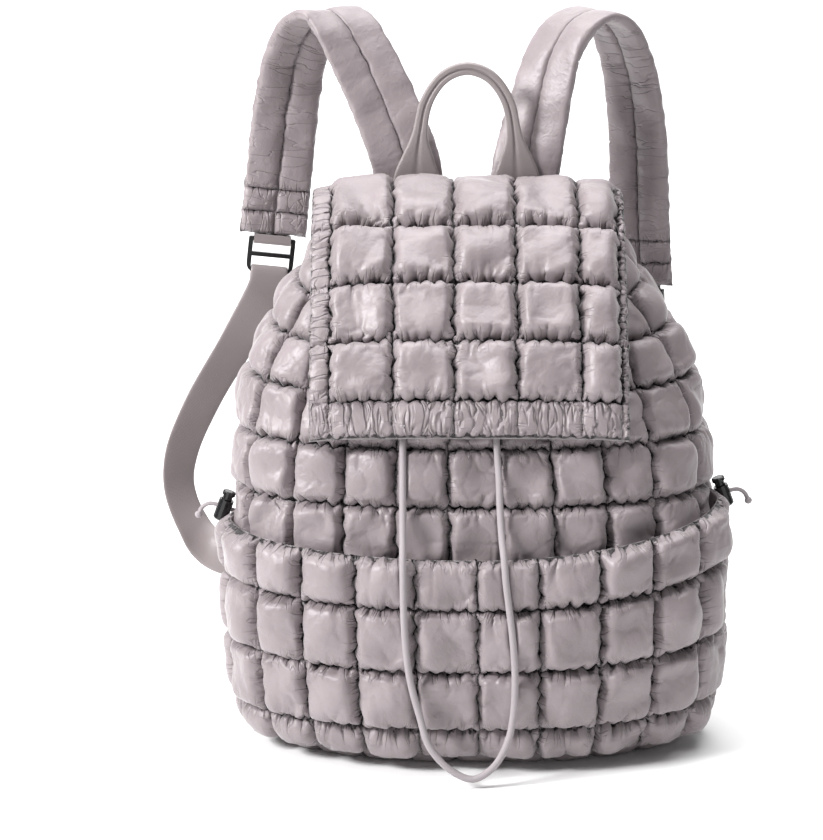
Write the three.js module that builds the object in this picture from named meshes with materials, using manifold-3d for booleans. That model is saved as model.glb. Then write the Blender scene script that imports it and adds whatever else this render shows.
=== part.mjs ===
// A quilted puffer backpack, standing on its base: a gathered bag with a front pocket, a flap over its
// mouth, a carry handle, two padded shoulder straps with ladder-lock buckles and webbing, a drawstring
// that hangs in front, and a cord lock at each end of the pocket's elastic hem.
// Millimetres, +Z up, front towards -Y. The origin is the middle of the base, on the floor.
import * as THREE from "three";
import { mergeVertices } from "three/addons/utils/BufferGeometryUtils.js";
import Module from "manifold-3d";

const wasm = await Module();
wasm.setup();

// The bag, measured along its seams: the puffs stand outside these sizes.
const BODY_WIDTH = 296;
const BODY_DEPTH = 144;
const BODY_HEIGHT = 352;
const BODY_LEAN = 7; // the soft top leans this far to the left
const BODY_PUFF = 7.5;
const CLOTH = 2; // a quilted wall along its seams
const BASE_THICKNESS = 5;
const BACK_SQUARENESS = 3.4; // superellipse powers of the outline, behind and in front
const FRONT_SQUARENESS = 2.3;
const COLUMNS = 22; // quilting columns round the bag
const SEWN_GAP = 0.4; // between pieces that are sewn together

// The front pocket
const POCKET_PUFF = 8;
const POCKET_ROOM = 5; // more room inside at its middle than at its sides
const POCKET_RIM_LEVEL = 4.22; // in rows of the bag's quilting, at the middle
const LEFT_RIM_LEVEL = 4.5;
const RIGHT_RIM_LEVEL = 4.9;
const POCKET_FOOT_GAP = 3.6; // where the bag's flat facets meet the pocket's
const PRESSED = 0.4; // of the bag's puffs is left behind the pocket

// The flap
const FLAP_WIDTH = 202;
const FLAP_LENGTH = 248; // along the cloth, from its sewn edge to its hem
const FLAP_START = 8.7; // in rows of the bag's quilting, at the back
const FLAP_PUFF = 8;
const FLAP_CLOTH = 3;
const FLAP_ROOM = 8; // for the drawstring, between the bag's puffs and the flap
const FLAP_SEAT = 6.9; // its sewn part, off the bag's seams behind
const FLAP_FOLLOW = 0.75; // how much of the bag's curve the flap takes on

// Webbing, straps and handle
const WEBBING_WIDTH = 25;
const WEBBING_THICKNESS = 1.5;
const WEBBING_TAIL = 42; // the free end behind a buckle
const HANDLE_WIDTH = 30;
const HANDLE_THICKNESS = 1.8;
const HANDLE_RISE = 76; // above the mouth's back edge
const HANDLE_SPAN = 66; // between the middles of its two ends
const STRAP_WIDTH = 45;
const STRAP_THICKNESS = 9;
const STRAP_SPACING = 78; // between the middles of the two straps where they are sewn on
const STRAP_RISE = 106; // crest above the mouth's back edge
const STRAP_REACH = 54; // how far the straps arch back
const LEFT_STRAP_SPREAD = 92;
const RIGHT_STRAP_SPREAD = 82;
const YOKE_WIDTH = 136;
const YOKE_THICKNESS = 2;

// The buckles
const BUCKLE_WIDTH = 32;
const BUCKLE_HEIGHT = 24;
const BUCKLE_THICKNESS = 3.2;
const BUCKLE_BAR = 3;
const BUCKLE_RUNNING_GAP = 0.4; // round the webbing in its slots

// The cord locks, on the pocket's elastic cord
const POCKET_CORD = 3; // diameter
const CORD_GAP = 0.3;
const LOCK_RADIUS = 5;
const LOCK_WALL = 1.4;
const LOCK_TRAVEL = 3;
const LOCK_FLOOR = 2;
const LOCK_BRIDGE = 1.8; // the button's foot, under the cord
const LOCK_HEAD = 2.8;
const LOCK_STANDOFF = 11.5; // from the pocket's hem to the lock's middle

// The drawstring hangs from the mouth's casing down to the floor and back up.
const DRAWSTRING = 4.5; // diameter
const DRAWSTRING_STEP = 11;
const DRAWSTRING_ROUTE = [
  [-47, 8, 309.5],
  [-46.5, 3, 309.5],
  [-46.5, -3, 304],
  [-46.5, -11, 295],
  [-48.5, -18.5, 283],
  [-48.5, -28, 271],
  [-49, -33, 261],
  [-49.5, -43.5, 248],
  [-50, -50, 235],
  [-49.5, -55.5, 222],
  [-49, -62, 207],
  [-49, -71, 190],
  [-49, -77, 174],
  [-49, -84.5, 158],
  [-49, -93, 146],
  [-48.8, -97, 132],
  [-48.5, -98.5, 116],
  [-47.5, -100.5, 95],
  [-44.5, -102, 70],
  [-38.5, -103.5, 46.5],
  [-32, -107, 26.5],
  [-18, -109, 11.5],
  [-4.5, -110, 6.5],
  [7.5, -109, 13.5],
  [16.5, -107, 28.5],
  [20.5, -104, 46],
  [21.5, -102.5, 71],
  [20, -101, 95],
  [17.5, -98.5, 116],
  [15.5, -97, 132],
  [14.3, -93, 146],
  [13, -84.5, 158],
  [12, -77, 174],
  [11.5, -71, 190],
  [10.5, -62, 207],
  [9.5, -55.5, 222],
  [10, -50, 235],
  [10, -43.5, 248],
  [10, -33, 261],
  [10, -28, 271],
  [10, -18.5, 283],
  [8, -11, 295],
  [6, -3, 304],
  [4.5, 3, 309.5],
  [4, 7, 309.5],
];

// The bag's quilting seams, from the base to the mouth. Heights are shares of BODY_HEIGHT behind and in
// front, half is a share of half BODY_WIDTH, back and front are shares of half BODY_DEPTH, and puff is
// the share of BODY_PUFF in the row above the seam.
const LEVELS = [
  { backUp: 0.0, frontUp: 0.0, half: 0.865, back: 0.861, front: -0.833, puff: 0 },
  { backUp: 0.034, frontUp: 0.034, half: 0.939, back: 0.944, front: -0.944, puff: 0.9 },
  { backUp: 0.148, frontUp: 0.148, half: 0.973, back: 0.972, front: -1.0, puff: 1 },
  { backUp: 0.261, frontUp: 0.261, half: 0.986, back: 0.986, front: -1.014, puff: 1 },
  { backUp: 0.375, frontUp: 0.375, half: 0.993, back: 0.986, front: -0.972, puff: 1 },
  { backUp: 0.489, frontUp: 0.486, half: 1.0, back: 0.986, front: -0.889, puff: 1 },
  { backUp: 0.599, frontUp: 0.585, half: 0.986, back: 0.972, front: -0.736, puff: 1 },
  { backUp: 0.707, frontUp: 0.673, half: 0.939, back: 0.958, front: -0.542, puff: 1 },
  { backUp: 0.804, frontUp: 0.744, half: 0.845, back: 0.931, front: -0.333, puff: 0.95 },
  { backUp: 0.889, frontUp: 0.804, half: 0.73, back: 0.903, front: -0.111, puff: 0.85 },
  { backUp: 0.957, frontUp: 0.852, half: 0.635, back: 0.861, front: 0.083, puff: 0.5 },
  { backUp: 1.0, frontUp: 0.892, half: 0.581, back: 0.792, front: 0.25, puff: 0 },
];
const MOUTH = LEVELS.length - 1;
const PUFF_EDGE = 0.24; // a puff's shoulder stands this far into its cell
const PUFF_SHOULDER = 0.8; // and this high, as a share of the puff

// Rows of the pocket, from its foot to its rim, and of the flap, from its sewn edge to its hem: where each
// begins, as a share of the length, and its share of the puff. The last line is the end.
const POCKET_ROWS = [
  { at: 0, puff: 0.7 },
  { at: 0.17, puff: 1 },
  { at: 0.46, puff: 1 },
  { at: 0.76, puff: 0.5 },
  { at: 1, puff: 0 },
];
// The pocket's upright seams, in quilting columns from the middle of the bag's back.
const POCKET_SEAMS = [5.5, 6.2, 7.03, 7.87, 8.83, 9.88, 11, 12.12, 13.2, 14.17, 15.08, 15.9, 16.5];
const FLAP_ROWS = [
  { at: 0, puff: 0 },
  { at: 0.1, puff: 0 },
  { at: 0.195, puff: 0 },
  { at: 0.235, puff: 0.6 },
  { at: 0.43, puff: 0.9 },
  { at: 0.595, puff: 0.9 },
  { at: 0.755, puff: 0.9 },
  { at: 0.91, puff: 0.4 },
  { at: 1, puff: 0 },
];
// The flap's seams from left to right, as shares of its width.
const FLAP_COLUMNS = [
  { at: 0, puff: 0.4 },
  { at: 0.058, puff: 1 },
  { at: 0.26, puff: 1 },
  { at: 0.452, puff: 1 },
  { at: 0.65, puff: 1 },
  { at: 0.85, puff: 0.8 },
  { at: 0.952, puff: 0.4 },
  { at: 1, puff: 0 },
];

// Shoulder straps from the yoke over the crest to the buckle: shares of a strap's spread, reach and
// rise, the turn of its width about the vertical in degrees, and its padding's share of the thickness.
const LEFT_STRAP = [
  { out: 0.0, back: 0.03, up: 0.06, turn: 2, pad: 0.5 },
  { out: 0.15, back: 0.17, up: 0.43, turn: 12, pad: 1 },
  { out: 0.35, back: 0.33, up: 0.79, turn: 20, pad: 1 },
  { out: 0.46, back: 0.45, up: 0.94, turn: 25, pad: 1 },
  { out: 0.57, back: 0.61, up: 1.0, turn: 28, pad: 1 },
  { out: 0.7, back: 0.78, up: 0.93, turn: 27, pad: 1 },
  { out: 0.81, back: 0.9, up: 0.74, turn: 22, pad: 1 },
  { out: 0.88, back: 0.97, up: 0.45, turn: 16, pad: 1 },
  { out: 0.94, back: 1.0, up: 0.03, turn: 10, pad: 1 },
  { out: 1.0, back: 0.96, up: -0.43, turn: 6, pad: 0.7 },
];
const RIGHT_STRAP = [
  { out: 0.0, back: 0.04, up: 0.06, turn: 4, pad: 0.5 },
  { out: 0.1, back: 0.2, up: 0.43, turn: 30, pad: 1 },
  { out: 0.23, back: 0.33, up: 0.79, turn: 44, pad: 1 },
  { out: 0.38, back: 0.46, up: 0.95, turn: 48, pad: 1 },
  { out: 0.55, back: 0.63, up: 1.0, turn: 50, pad: 1 },
  { out: 0.71, back: 0.8, up: 0.92, turn: 48, pad: 1 },
  { out: 0.83, back: 0.91, up: 0.72, turn: 44, pad: 1 },
  { out: 0.91, back: 0.98, up: 0.43, turn: 39, pad: 1 },
  { out: 0.95, back: 1.0, up: 0.14, turn: 36, pad: 1 },
  { out: 0.97, back: 0.98, up: -0.32, turn: 31, pad: 1 },
  { out: 1.0, back: 0.93, up: -0.76, turn: 28, pad: 0.7 },
];
// A strap's section: across and through are shares of half its width and half its thickness.
const STRAP_SECTION = [
  { across: -1, through: 0 },
  { across: -0.86, through: 0.8 },
  { across: -0.45, through: 1 },
  { across: 0, through: 0.62 },
  { across: 0.45, through: 1 },
  { across: 0.86, through: 0.8 },
];

// Webbing from a buckle to the bag's side: out and back are shares of the strap's spread and reach, fall
// is a share of the height from the buckle down to where the webbing is sewn on, and turn and lift set
// its width, about the vertical and out of the level.
const ANCHOR_LEVEL = 2.85;
const ANCHOR_TURN = 4.35; // in quilting columns from the middle of the back
const LEFT_WEBBING = [
  { out: 1.09, back: 0.92, fall: 0.1, turn: 8, lift: 4 },
  { out: 1.27, back: 0.82, fall: 0.25, turn: 14, lift: 10 },
  { out: 1.53, back: 0.72, fall: 0.45, turn: 20, lift: 16 },
  { out: 1.69, back: 0.6, fall: 0.62, turn: 30, lift: 20 },
  { out: 1.71, back: 0.5, fall: 0.73, turn: 48, lift: 30 },
  { out: 1.62, back: 0.36, fall: 0.84, turn: 75, lift: 48 },
  { out: 1.44, back: 0.2, fall: 0.94, turn: 100, lift: 72 },
];
const RIGHT_WEBBING = [
  { out: 1.02, back: 0.82, fall: 0.1, turn: 24, lift: 3 },
  { out: 1.05, back: 0.74, fall: 0.28, turn: 26, lift: 6 },
  { out: 1.06, back: 0.66, fall: 0.46, turn: 30, lift: 12 },
  { out: 1.06, back: 0.57, fall: 0.63, turn: 36, lift: 24 },
  { out: 1.07, back: 0.42, fall: 0.77, turn: 42, lift: 42 },
  { out: 1.1, back: 0.18, fall: 0.89, turn: 47, lift: 62 },
];

const FABRIC = new THREE.MeshStandardMaterial({ color: 0xb3a6a8, roughness: 0.5 });
const WEBBING = new THREE.MeshStandardMaterial({ color: 0x9a8d8c, roughness: 0.55 });
const PLASTIC = new THREE.MeshStandardMaterial({ color: 0x0c0c0d, roughness: 0.3 });
const CORD = new THREE.MeshStandardMaterial({ color: 0xb9b2b6, roughness: 0.7 });

// Numbers and places

function catmullRom(p0, p1, p2, p3, t) {
  const [a, b] = [(p2 - p0) / 2, (p3 - p1) / 2];
  return (2 * p1 - 2 * p2 + a + b) * t ** 3 + (3 * p2 - 3 * p1 - 2 * a - b) * t ** 2 + a * t + p1;
}

// A column of the LEVELS table at a level between its rows.
function levelValue(key, level) {
  const row = Math.min(Math.max(Math.floor(level), 0), MOUTH - 1);
  const at = (k) => LEVELS[Math.min(Math.max(k, 0), MOUTH)][key];
  return catmullRom(at(row - 1), at(row), at(row + 1), at(row + 2), level - row);
}

// The bag's outline at a level, as the numbers that its seam follows.
function outlineAt(level) {
  const back = (levelValue("back", level) * BODY_DEPTH) / 2;
  const front = (levelValue("front", level) * BODY_DEPTH) / 2;
  return {
    half: (levelValue("half", level) * BODY_WIDTH) / 2,
    back,
    middle: (back + front) / 2,
    depth: (back - front) / 2,
    backUp: levelValue("backUp", level) * BODY_HEIGHT,
    frontUp: levelValue("frontUp", level) * BODY_HEIGHT,
  };
}

function leanAt(z) {
  return (-BODY_LEAN * z) / BODY_HEIGHT;
}

// A point of the outline where it has a given depth, y, beside the middle of the bag by x.
function outlinePoint(outline, x, y) {
  const share = (outline.back - y) / (2 * outline.depth);
  const z = outline.backUp + (outline.frontUp - outline.backUp) * share;
  return new THREE.Vector3(x + leanAt(z), y, z);
}

// The closed seam round the bag at a level, from the middle of the back to the left.
const seams = new Map();
function seamCurve(level) {
  const key = level.toFixed(5);
  if (!seams.has(key)) {
    const outline = outlineAt(level);
    const points = [];
    const steps = 96;
    for (let k = 0; k < steps; k++) {
      const angle = (2 * Math.PI * k) / steps;
      const power = 2 / (Math.cos(angle) > 0 ? BACK_SQUARENESS : FRONT_SQUARENESS);
      const across = Math.sign(Math.sin(angle)) * Math.abs(Math.sin(angle)) ** power;
      const along = Math.sign(Math.cos(angle)) * Math.abs(Math.cos(angle)) ** power;
      points.push(
        outlinePoint(outline, -outline.half * across, outline.middle + outline.depth * along),
      );
    }
    seams.set(key, new THREE.CatmullRomCurve3(points, true));
  }
  return seams.get(key);
}

function seamPoint(column, level) {
  const share = column / COLUMNS;
  return seamCurve(level).getPointAt(share - Math.floor(share));
}

// A point of the bag's wall, moved outwards by offset.
function wallPoint(column, level, offset = 0) {
  const point = seamPoint(column, level);
  if (offset === 0) return point;
  return point.addScaledVector(wallNormal(column, level), offset);
}

function wallNormal(column, level) {
  const step = 0.02;
  const low = Math.max(level - step, 0);
  const high = Math.min(level + step, MOUTH);
  const round = seamPoint(column + step, level).sub(seamPoint(column - step, level));
  const up = seamPoint(column, high).sub(seamPoint(column, low));
  return round.cross(up).normalize();
}

function range(count) {
  return Array.from({ length: count }, (_, k) => k);
}

// Solids

// Two triangles for each pair of edges that face each other across a ring of an even number of points.
function capFaces(ring, turnedRound) {
  const faces = [];
  for (let k = 0; k < ring.length / 2 - 1; k++) {
    const [a, b] = [ring[k], ring[k + 1]];
    const [c, d] = [ring.at(-2 - k), ring.at(-1 - k)];
    faces.push(...(turnedRound ? [a, c, b, a, d, c] : [a, b, c, a, c, d]));
  }
  return faces;
}

function closedGeometry(points, index) {
  const geometry = new THREE.BufferGeometry();
  const positions = points.flatMap((p) => [p.x, p.y, p.z]);
  geometry.setAttribute("position", new THREE.Float32BufferAttribute(positions, 3));
  geometry.setIndex(index);
  return facingOut(geometry);
}

// A closed solid through rings that all have the same even number of points.
function loft(rings) {
  const count = rings[0].length;
  const index = [];
  for (let r = 0; r < rings.length - 1; r++) {
    for (let k = 0; k < count; k++) {
      const next = (k + 1) % count;
      const [a, b] = [r * count + k, r * count + next];
      index.push(a, b, b + count, a, b + count, a + count);
    }
  }
  const ring = (r) => range(count).map((k) => r * count + k);
  index.push(...capFaces(ring(0), true), ...capFaces(ring(rings.length - 1), false));
  return closedGeometry(rings.flat(), index);
}

// A quilted sheet between seams that cross. place(column, row, puff) gives a point of it, and puff runs
// from 0 on a seam to the cell's own share in the middle of a cell. A closed sheet joins its last column
// to its first.
function quilting(columns, rows, place, puffOf, closed) {
  const points = [];
  const index = [];
  const add = (column, row, puff) => points.push(place(column, row, puff)) - 1;
  const across = closed ? columns.slice(0, -1) : columns;
  const crossings = rows.map((row) => across.map((column) => add(column, row, 0)));
  const crossing = (r, c) => crossings[r][c % across.length];
  const mix = THREE.MathUtils.lerp;
  for (let r = 0; r < rows.length - 1; r++) {
    for (let c = 0; c < columns.length - 1; c++) {
      const inside = (u, v, share) =>
        add(
          mix(columns[c], columns[c + 1], u),
          mix(rows[r], rows[r + 1], v),
          share * puffOf(c, r),
        );
      const [near, far] = [PUFF_EDGE, 1 - PUFF_EDGE];
      const rim = [crossing(r, c), crossing(r, c + 1), crossing(r + 1, c + 1), crossing(r + 1, c)];
      const shoulder = [
        inside(near, near, PUFF_SHOULDER),
        inside(far, near, PUFF_SHOULDER),
        inside(far, far, PUFF_SHOULDER),
        inside(near, far, PUFF_SHOULDER),
      ];
      const top = inside(0.5, 0.5, 1);
      for (const k of range(4)) {
        const n = (k + 1) % 4;
        index.push(rim[k], rim[n], shoulder[n], rim[k], shoulder[n], shoulder[k]);
        index.push(shoulder[k], shoulder[n], top);
      }
    }
  }
  return { points, index, crossings };
}

// A padded piece with a quilted face and a plain one behind it. behind(column, row) gives a point of the
// plain face.
function quiltedSlab(columns, rows, place, puffOf, behind) {
  const { points, index, crossings } = quilting(columns, rows, place, puffOf, false);
  const back = rows.map((row) => columns.map((column) => points.push(behind(column, row)) - 1));
  for (let r = 0; r < rows.length - 1; r++) {
    for (let c = 0; c < columns.length - 1; c++) {
      const [a, b] = [back[r][c], back[r][c + 1]];
      const [d, e] = [back[r + 1][c], back[r + 1][c + 1]];
      index.push(a, e, b, a, d, e);
    }
  }
  const border = (sheet) => [
    ...sheet[0],
    ...sheet.slice(1, -1).map((line) => line.at(-1)),
    ...sheet.at(-1).toReversed(),
    ...sheet.slice(1, -1).map((line) => line[0]).toReversed(),
  ];
  const [faceBorder, backBorder] = [border(crossings), border(back)];
  faceBorder.forEach((a, k) => {
    const next = (k + 1) % faceBorder.length;
    const b = faceBorder[next];
    index.push(b, a, backBorder[k], b, backBorder[k], backBorder[next]);
  });
  return closedGeometry(points, index);
}

// Turns a closed geometry's faces round if they point inwards.
function facingOut(geometry) {
  const points = geometry.getAttribute("position");
  const index = geometry.getIndex().array;
  const [a, b, c] = [new THREE.Vector3(), new THREE.Vector3(), new THREE.Vector3()];
  let volume = 0;
  for (let k = 0; k < index.length; k += 3) {
    a.fromBufferAttribute(points, index[k]);
    b.fromBufferAttribute(points, index[k + 1]);
    c.fromBufferAttribute(points, index[k + 2]);
    volume += a.dot(b.cross(c));
  }
  if (volume < 0) {
    for (let k = 0; k < index.length; k += 3) {
      [index[k + 1], index[k + 2]] = [index[k + 2], index[k + 1]];
    }
  }
  return geometry;
}

function toSolid(geometry) {
  const bare = geometry.clone();
  bare.deleteAttribute("normal");
  bare.deleteAttribute("uv");
  const merged = mergeVertices(bare, 1e-3);
  return new wasm.Manifold(
    new wasm.Mesh({
      numProp: 3,
      vertProperties: new Float32Array(merged.getAttribute("position").array),
      triVerts: new Uint32Array(merged.getIndex().array),
    }),
  );
}

function toGeometry(solid) {
  const { vertProperties, triVerts } = solid.getMesh();
  const geometry = new THREE.BufferGeometry();
  geometry.setAttribute("position", new THREE.Float32BufferAttribute(vertProperties, 3));
  geometry.setIndex(Array.from(triVerts));
  return geometry;
}

function named(name, geometry, material) {
  const mesh = new THREE.Mesh(geometry, material);
  mesh.name = name;
  return mesh;
}

// A slab between two sheets of points, given row by row: sheet[row][column].
function slab(outer, inner) {
  return loft(outer.map((row, r) => [...row, ...inner[r].toReversed()]));
}

// A ribbon of one section along a smooth line through stations, each with a centre, the direction of
// its width and its padding's share.
function ribbon(stations, section, width, thickness, steps) {
  const line = new THREE.CatmullRomCurve3(
    stations.map((s) => s.centre),
    false,
    "centripetal",
  );
  const rings = range(steps + 1).map((k) => {
    const t = k / steps;
    const place = t * (stations.length - 1);
    const first = Math.min(Math.floor(place), stations.length - 2);
    const [from, to] = [stations[first], stations[first + 1]];
    const along = line.getTangent(t);
    const across = from.across.clone().lerp(to.across, place - first);
    across.addScaledVector(along, -across.dot(along)).normalize();
    const through = along.clone().cross(across);
    const pad = THREE.MathUtils.lerp(from.pad ?? 1, to.pad ?? 1, place - first);
    return section.map((s) =>
      line
        .getPoint(t)
        .addScaledVector(across, (s.across * width) / 2)
        .addScaledVector(through, (s.through * thickness * pad) / 2),
    );
  });
  return loft(rings);
}

const FLAT_SECTION = [
  { across: -1, through: -1 },
  { across: -1, through: 1 },
  { across: 1, through: 1 },
  { across: 1, through: -1 },
];
const PADDED_SECTION = [
  ...STRAP_SECTION,
  ...STRAP_SECTION.map((s) => ({ across: -s.across, through: -s.through })),
];

// A direction turned about the vertical and lifted out of the level, in degrees.
function direction(turn, lift = 0) {
  const [t, l] = [THREE.MathUtils.degToRad(turn), THREE.MathUtils.degToRad(lift)];
  return new THREE.Vector3(Math.cos(t) * Math.cos(l), Math.sin(t) * Math.cos(l), Math.sin(l));
}

// The bag

const BODY_SEAMS = range(COLUMNS + 1).map((k) => k + 0.5);
const POCKET_FIRST = Math.floor(COLUMNS / 4) + 0.5;
const POCKET_LAST = COLUMNS - POCKET_FIRST;

function bodyWall() {
  const behindPocket = (c, r) =>
    BODY_SEAMS[c] >= POCKET_FIRST && BODY_SEAMS[c] < POCKET_LAST && pocketRim(c + 1) - r > 0.45;
  const { points, index, crossings } = quilting(
    BODY_SEAMS,
    range(MOUTH + 1),
    (column, level, puff) => wallPoint(column, level, puff * BODY_PUFF),
    (c, r) => LEVELS[r].puff * (behindPocket(c, r) ? PRESSED * Math.min(r - 1, 1) : 1),
    true,
  );
  index.push(...capFaces(crossings[0], true), ...capFaces(crossings.at(-1), false));
  const inner = range(MOUTH + 1).map((level) =>
    range(COLUMNS).map((k) => wallPoint(BODY_SEAMS[k], level, -CLOTH)),
  );
  const beyond = new THREE.Vector3(0, 0, 2 * CLOTH);
  inner.unshift(inner[0].map((p) => p.clone().sub(beyond)));
  inner.push(inner.at(-1).map((p) => p.clone().add(beyond)));
  return toGeometry(toSolid(closedGeometry(points, index)).subtract(toSolid(loft(inner))));
}

// The base panel lies inside the foot of the wall.
function basePanel() {
  const ring = (z) =>
    range(COLUMNS).map((k) => {
      const inwards = wallNormal(BODY_SEAMS[k], 0).setZ(0).normalize().multiplyScalar(-SEWN_GAP);
      return wallPoint(BODY_SEAMS[k], 0, -CLOTH).add(inwards).setZ(z);
    });
  return loft([ring(0), ring(BASE_THICKNESS)]);
}

// The pocket's rim, in rows of the bag's quilting: it rises from its middle to the bag's side seams.
function pocketRim(column) {
  const side = (column - COLUMNS / 2) / (COLUMNS / 2 - POCKET_FIRST);
  const end = side < 0 ? LEFT_RIM_LEVEL : RIGHT_RIM_LEVEL;
  return POCKET_RIM_LEVEL + (end - POCKET_RIM_LEVEL) * side ** 2;
}

// How far the pocket's inner face stands off the bag's seams. Its sewn edges come in to the wall.
function pocketOffset(column, row) {
  const fromSide = Math.min(column - POCKET_FIRST, POCKET_LAST - column);
  const inwards = Math.min(1, 2 * fromSide);
  const edge = Math.min(inwards, row / POCKET_ROWS[1].at);
  const middle = Math.sin((Math.PI / 2) * Math.min(1, fromSide / 4));
  const height = Math.sin((Math.PI / 2) * Math.min(1, row * 2));
  const sewn = THREE.MathUtils.lerp(2 * SEWN_GAP, POCKET_FOOT_GAP, inwards);
  return sewn + edge * BODY_PUFF + POCKET_ROOM * middle * height;
}

function pocketPoint(column, row, outwards) {
  const level = 1 + (pocketRim(column) - 1) * row;
  return wallPoint(column, level, pocketOffset(column, row) + outwards);
}

function frontPocket() {
  return quiltedSlab(
    POCKET_SEAMS,
    POCKET_ROWS.map((row) => row.at),
    (column, row, puff) => pocketPoint(column, row, CLOTH + puff * POCKET_PUFF),
    (c, r) => POCKET_ROWS[r].puff,
    (column, row) => pocketPoint(column, row, 0),
  );
}

// The line up the bag's back, over its mouth and down its front, beside the middle by x. It stands off
// the seams by behind at the back and by before in front.
function overTheTop(x, behind, before) {
  const lastLevel = 4;
  const step = 0.25;
  const section = (level, back) => {
    const outline = outlineAt(level);
    const power = back ? BACK_SQUARENESS : FRONT_SQUARENESS;
    const share = Math.min(Math.abs(x) / outline.half, 1);
    const deep = outline.depth * (1 - share ** power) ** (1 / power);
    return outlinePoint(outline, 0, outline.middle + (back ? deep : -deep)).setX(0);
  };
  const points = [];
  for (let level = FLAP_START; level <= MOUTH; level += step) {
    points.push({ at: section(level, true), room: behind });
  }
  for (let level = MOUTH; level >= lastLevel; level -= step) {
    points.push({ at: section(level, false), room: before });
  }
  return points.map((point, k) => {
    const last = points[Math.max(k - 1, 0)].at;
    const next = points[Math.min(k + 1, points.length - 1)].at;
    const along = next.clone().sub(last);
    const out = new THREE.Vector3(0, along.z, -along.y).normalize();
    return point.at.clone().addScaledVector(out, point.room);
  });
}

const flapLines = new Map();
function flapLine(x, outwards) {
  const key = `${x.toFixed(3)} ${outwards.toFixed(3)}`;
  if (!flapLines.has(key)) {
    const [behind, before] = [FLAP_SEAT + outwards, BODY_PUFF + FLAP_ROOM + outwards];
    const points = overTheTop(x * FLAP_FOLLOW, behind, before);
    flapLines.set(key, new THREE.CatmullRomCurve3(points, false, "centripetal"));
  }
  return flapLines.get(key);
}

function flapPoint(column, row, outwards) {
  const x = FLAP_WIDTH * (column - 0.5);
  const share = (row * FLAP_LENGTH) / flapLine(0, 0).getLength();
  return flapLine(x, outwards).getPointAt(share).setX(x + leanAt(BODY_HEIGHT));
}

function flap() {
  return quiltedSlab(
    FLAP_COLUMNS.map((column) => column.at),
    FLAP_ROWS.map((row) => row.at),
    (column, row, puff) => flapPoint(column, row, FLAP_CLOTH + puff * FLAP_PUFF),
    (c, r) => FLAP_COLUMNS[c].puff * FLAP_ROWS[r].puff,
    (column, row) => flapPoint(column, row, 0),
  );
}

// What is sewn to the back, layer on layer over the flap's tail: the handle, the straps, the yoke.
const HANDLE_LAYER = FLAP_SEAT + FLAP_CLOTH + SEWN_GAP + HANDLE_THICKNESS / 2;
const STRAP_TAB = STRAP_THICKNESS * LEFT_STRAP[0].pad;
const STRAP_LAYER = HANDLE_LAYER + (HANDLE_THICKNESS + STRAP_TAB) / 2 + SEWN_GAP;
const YOKE_LAYER = STRAP_LAYER + STRAP_TAB / 2 + SEWN_GAP;
const TAB_LEVELS = [9.1, 10.1];
const YOKE_LEVELS = [8.8, 9.3, 9.8, 10.2];

function backPoint(level, offset) {
  const point = wallPoint(0, level, offset);
  return point.setX(0);
}

function yoke() {
  const halves = [-YOKE_WIDTH / 2, YOKE_WIDTH / 2];
  const sheet = (offset) =>
    YOKE_LEVELS.map((level) => halves.map((x) => backPoint(level, offset).setX(x + leanAt(BODY_HEIGHT))));
  return slab(sheet(YOKE_LAYER + YOKE_THICKNESS), sheet(YOKE_LAYER));
}

// The handle: its two ends lie flat on the back, and it narrows into a folded grip.
const HANDLE_STATIONS = [
  { across: 1, up: 0.06, width: 1, thick: 1 },
  { across: 0.98, up: 0.25, width: 0.72, thick: 1.4 },
  { across: 0.94, up: 0.46, width: 0.4, thick: 2.4 },
  { across: 0.8, up: 0.72, width: 0.34, thick: 2.8 },
  { across: 0.45, up: 0.93, width: 0.34, thick: 2.8 },
  { across: 0, up: 1, width: 0.34, thick: 2.8 },
];

function handle() {
  const top = backPoint(MOUTH, HANDLE_LAYER);
  const half = HANDLE_SPAN / 2;
  const side = [
    ...TAB_LEVELS.map((level) => {
      const { y, z } = backPoint(level, HANDLE_LAYER);
      return { x: half, y, z, width: 1, thick: 1 };
    }),
    ...HANDLE_STATIONS.map((s) => ({
      x: half * s.across,
      y: top.y,
      z: top.z + s.up * HANDLE_RISE,
      width: s.width,
      thick: s.thick,
    })),
  ];
  const whole = [...side.map((s) => ({ ...s, x: -s.x })), ...side.toReversed().slice(1)];
  const line = new THREE.CatmullRomCurve3(
    whole.map((s) => new THREE.Vector3(s.x + leanAt(BODY_HEIGHT), s.y, s.z)),
    false,
    "centripetal",
  );
  const steps = 3 * (whole.length - 1);
  const section = [
    [-1, 0],
    [-0.85, 1],
    [0.85, 1],
    [1, 0],
    [0.85, -1],
    [-0.85, -1],
  ];
  const forward = new THREE.Vector3(0, 1, 0.12).normalize();
  const rings = range(steps + 1).map((k) => {
    const t = k / steps;
    const place = t * (whole.length - 1);
    const first = Math.min(Math.floor(place), whole.length - 2);
    const mixed = (key) => THREE.MathUtils.lerp(whole[first][key], whole[first + 1][key], place - first);
    const along = line.getTangent(t);
    const through = forward.clone().addScaledVector(along, -forward.dot(along)).normalize();
    const across = along.clone().cross(through);
    return section.map(([a, b]) =>
      line
        .getPoint(t)
        .addScaledVector(across, (a * HANDLE_WIDTH * mixed("width")) / 2)
        .addScaledVector(through, (b * HANDLE_THICKNESS * mixed("thick")) / 2),
    );
  });
  return loft(rings);
}

// Straps, buckles and webbing of one side: 1 on the right, -1 on the left.

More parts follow.
